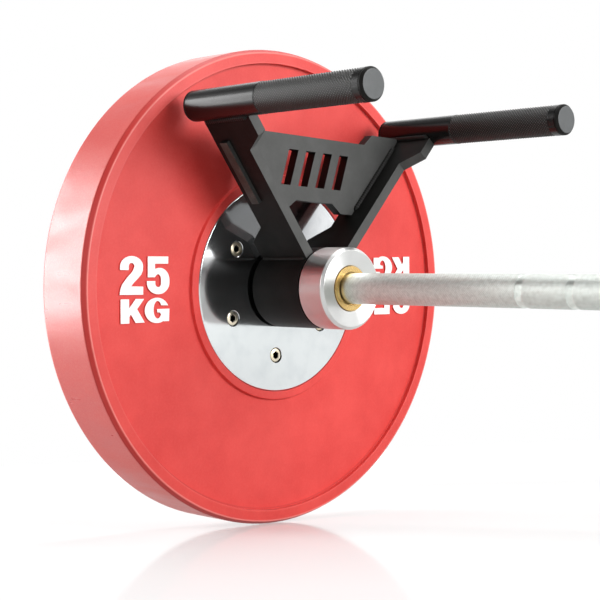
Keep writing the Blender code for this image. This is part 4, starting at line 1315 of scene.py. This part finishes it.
# %% Floor finish
POLISH_END = 0.62
GLOW_START, GLOW_END = 0.7, 1.9
plate_foot = BAR @ Vector((plate_middle, 0.0, -plate_radius))
floor_white, tree, shader = new_material("glossy_white_floor")
ray = add_node(tree, "ShaderNodeLightPath", give=None)
place = add_node(tree, "ShaderNodeTexCoord", give="Object")
away = add_node(tree, VECTOR, {0: place, 1: plate_foot}, give="Value", operation="DISTANCE")
white = add_node(tree, RANGE, {0: away, 1: GLOW_START, 2: GLOW_END, 3: 0.42, 4: 0.90})
glow = add_node(tree, MATH, {0: ray["Is Camera Ray"], 1: white}, operation="MULTIPLY")
glow = add_node(tree, MATH, {0: ray["Is Glossy Ray"], 1: 0.50, 2: glow}, operation="MULTIPLY_ADD")
colour = add_node(tree, MIX, {
    0: ray["Is Camera Ray"], 6: linear("#A8ACAA"), 7: linear("#BEBEBE")}, **AS_COLOUR)
connect(tree, shader, {
    "Base Color": colour, "Roughness": 0.9, "Specular IOR Level": 0.0,
    "Emission Color": WHITE, "Emission Strength": glow})
gloss = add_node(tree, "ShaderNodeBsdfGlossy", {"Color": WHITE, "Roughness": 0.07})
polish = add_node(tree, RANGE, {0: away, 1: 0.0, 2: POLISH_END, 3: 0.54, 4: 0.15})
fresnel = add_node(tree, "ShaderNodeFresnel", {"IOR": 1.40})
fresnel = add_node(tree, MATH, {0: fresnel, 1: polish}, operation="MULTIPLY")
connect(tree, tree.nodes["Material Output"], {"Surface": add_node(tree, "ShaderNodeMixShader", {
    0: fresnel, 1: shader.outputs[0], 2: gloss})})
floor_mesh.materials.append(floor_white)
print("material", floor_white.name, "nodes", len(tree.nodes))

# %% World
# Round the set, a shiny surface mirrors a dark room towards the camera, a white backdrop behind
# the set and pale cards at its sides. Each row is an area of that room: its limits in azimuth
# and in elevation, the softness of its edges, all in degrees, and how bright it looks.
PANELS = (
    (-180.0, 180.0, 58.0, 95.0, 10.0, 0.90),
    (43.3, 182.0, -95.0, 43.0, 0.5, 1.30),
    (128.0, 156.0, 10.0, 46.0, 6.0, 1.90),
    (-182.0, -128.0, -95.0, 40.0, 4.0, 0.95),
    (28.0, 39.8, -3.6, -2.5, 0.3, 0.90),
    (12.0, 70.0, 15.0, 42.0, 6.0, 3.00),
    (-122.0, -55.0, -12.0, 32.0, 8.0, 0.75),
)
ROOM_LEVEL = 0.16
AMBIENT = 0.25

world = bpy.data.worlds.new("white_studio")
bpy.context.scene.world = world
world.use_nodes = True
tree = world.node_tree
heading = add_node(tree, "ShaderNodeTexCoord", give="Generated")
x, y, z = add_node(tree, SPLIT, {0: heading}, give=None)
elevation = add_node(tree, MATH, {0: z}, operation="ARCSINE")
elevation = add_node(tree, MATH, {0: elevation}, operation="DEGREES")
azimuth = add_node(tree, MATH, {0: y, 1: x}, operation="ARCTAN2")
azimuth = add_node(tree, MATH, {0: azimuth}, operation="DEGREES")
mirrored = ROOM_LEVEL
for az_from, az_to, el_from, el_to, soft, level in PANELS:
    inside = in_band(tree, azimuth, az_from, az_to, soft, **SMOOTH)
    inside = in_band(tree, elevation, el_from, el_to, soft, inside, **SMOOTH)
    mirrored = add_node(tree, MIX, {0: inside, 2: mirrored, 3: level}, data_type="FLOAT")
print("panels:", len(PANELS))

# %% What each ray sees of the world
ray = add_node(tree, "ShaderNodeLightPath", give=None)
level = add_node(tree, MIX, {0: ray["Is Glossy Ray"], 2: AMBIENT, 3: mirrored}, data_type="FLOAT")
straight = add_node(tree, MATH, {
    0: ray["Is Camera Ray"], 1: ray["Is Transmission Ray"]}, operation="MAXIMUM")
level = add_node(tree, MIX, {0: straight, 2: level, 3: 1.0}, data_type="FLOAT")
connect(tree, tree.nodes["Background"], {"Color": WHITE, "Strength": level})
print("the world lights matt surfaces at", AMBIENT)

# %% [markdown]
# ## Lights
#
# Four soft boxes light the set. The key is wide and stands low in front of the plate, a little to
# the right of the bar, and throws the handle's soft shadow to the left on the red face. A second
# one behind and to the left gives the rim its pale streak. The third hangs above and gives the
# grips their long highlight, and a weak fourth fills the shaft's near side. Their levels are
# plain, so each colour looks about as it is written.

# %% Lamps
# Each row is a soft box: its azimuth and elevation from the handle in degrees, its distance,
# width and height in metres, and its watts.
SOFT_BOXES = {
    "key_box": (15.0, 11.0, 2.4, 1.50, 1.20, 56.0),
    "back_box": (-151.0, 11.0, 2.4, 1.30, 1.65, 60.0),
    "top_box": (100.0, 78.0, 2.2, 1.60, 1.20, 26.0),
    "fill_box": (-80.0, 12.0, 2.4, 1.20, 1.20, 11.0),
}
target = BAR @ Vector((-20 * MM, 0.0, 60 * MM))
for name, (azimuth, elevation, distance, width, height, watts) in SOFT_BOXES.items():
    a, e = math.radians(azimuth), math.radians(elevation)
    direction = Vector((math.cos(e) * math.cos(a), math.cos(e) * math.sin(a), math.sin(e)))
    lamp = bpy.data.lights.new(name, "AREA")
    lamp.shape = "RECTANGLE"
    lamp.size, lamp.size_y = width, height
    lamp.energy = watts
    holder = new_object(name, lamp)
    holder.location = target + direction * distance
    holder.rotation_euler = direction.to_track_quat("Z", "Y").to_euler()
print("lamps:", list(SOFT_BOXES))
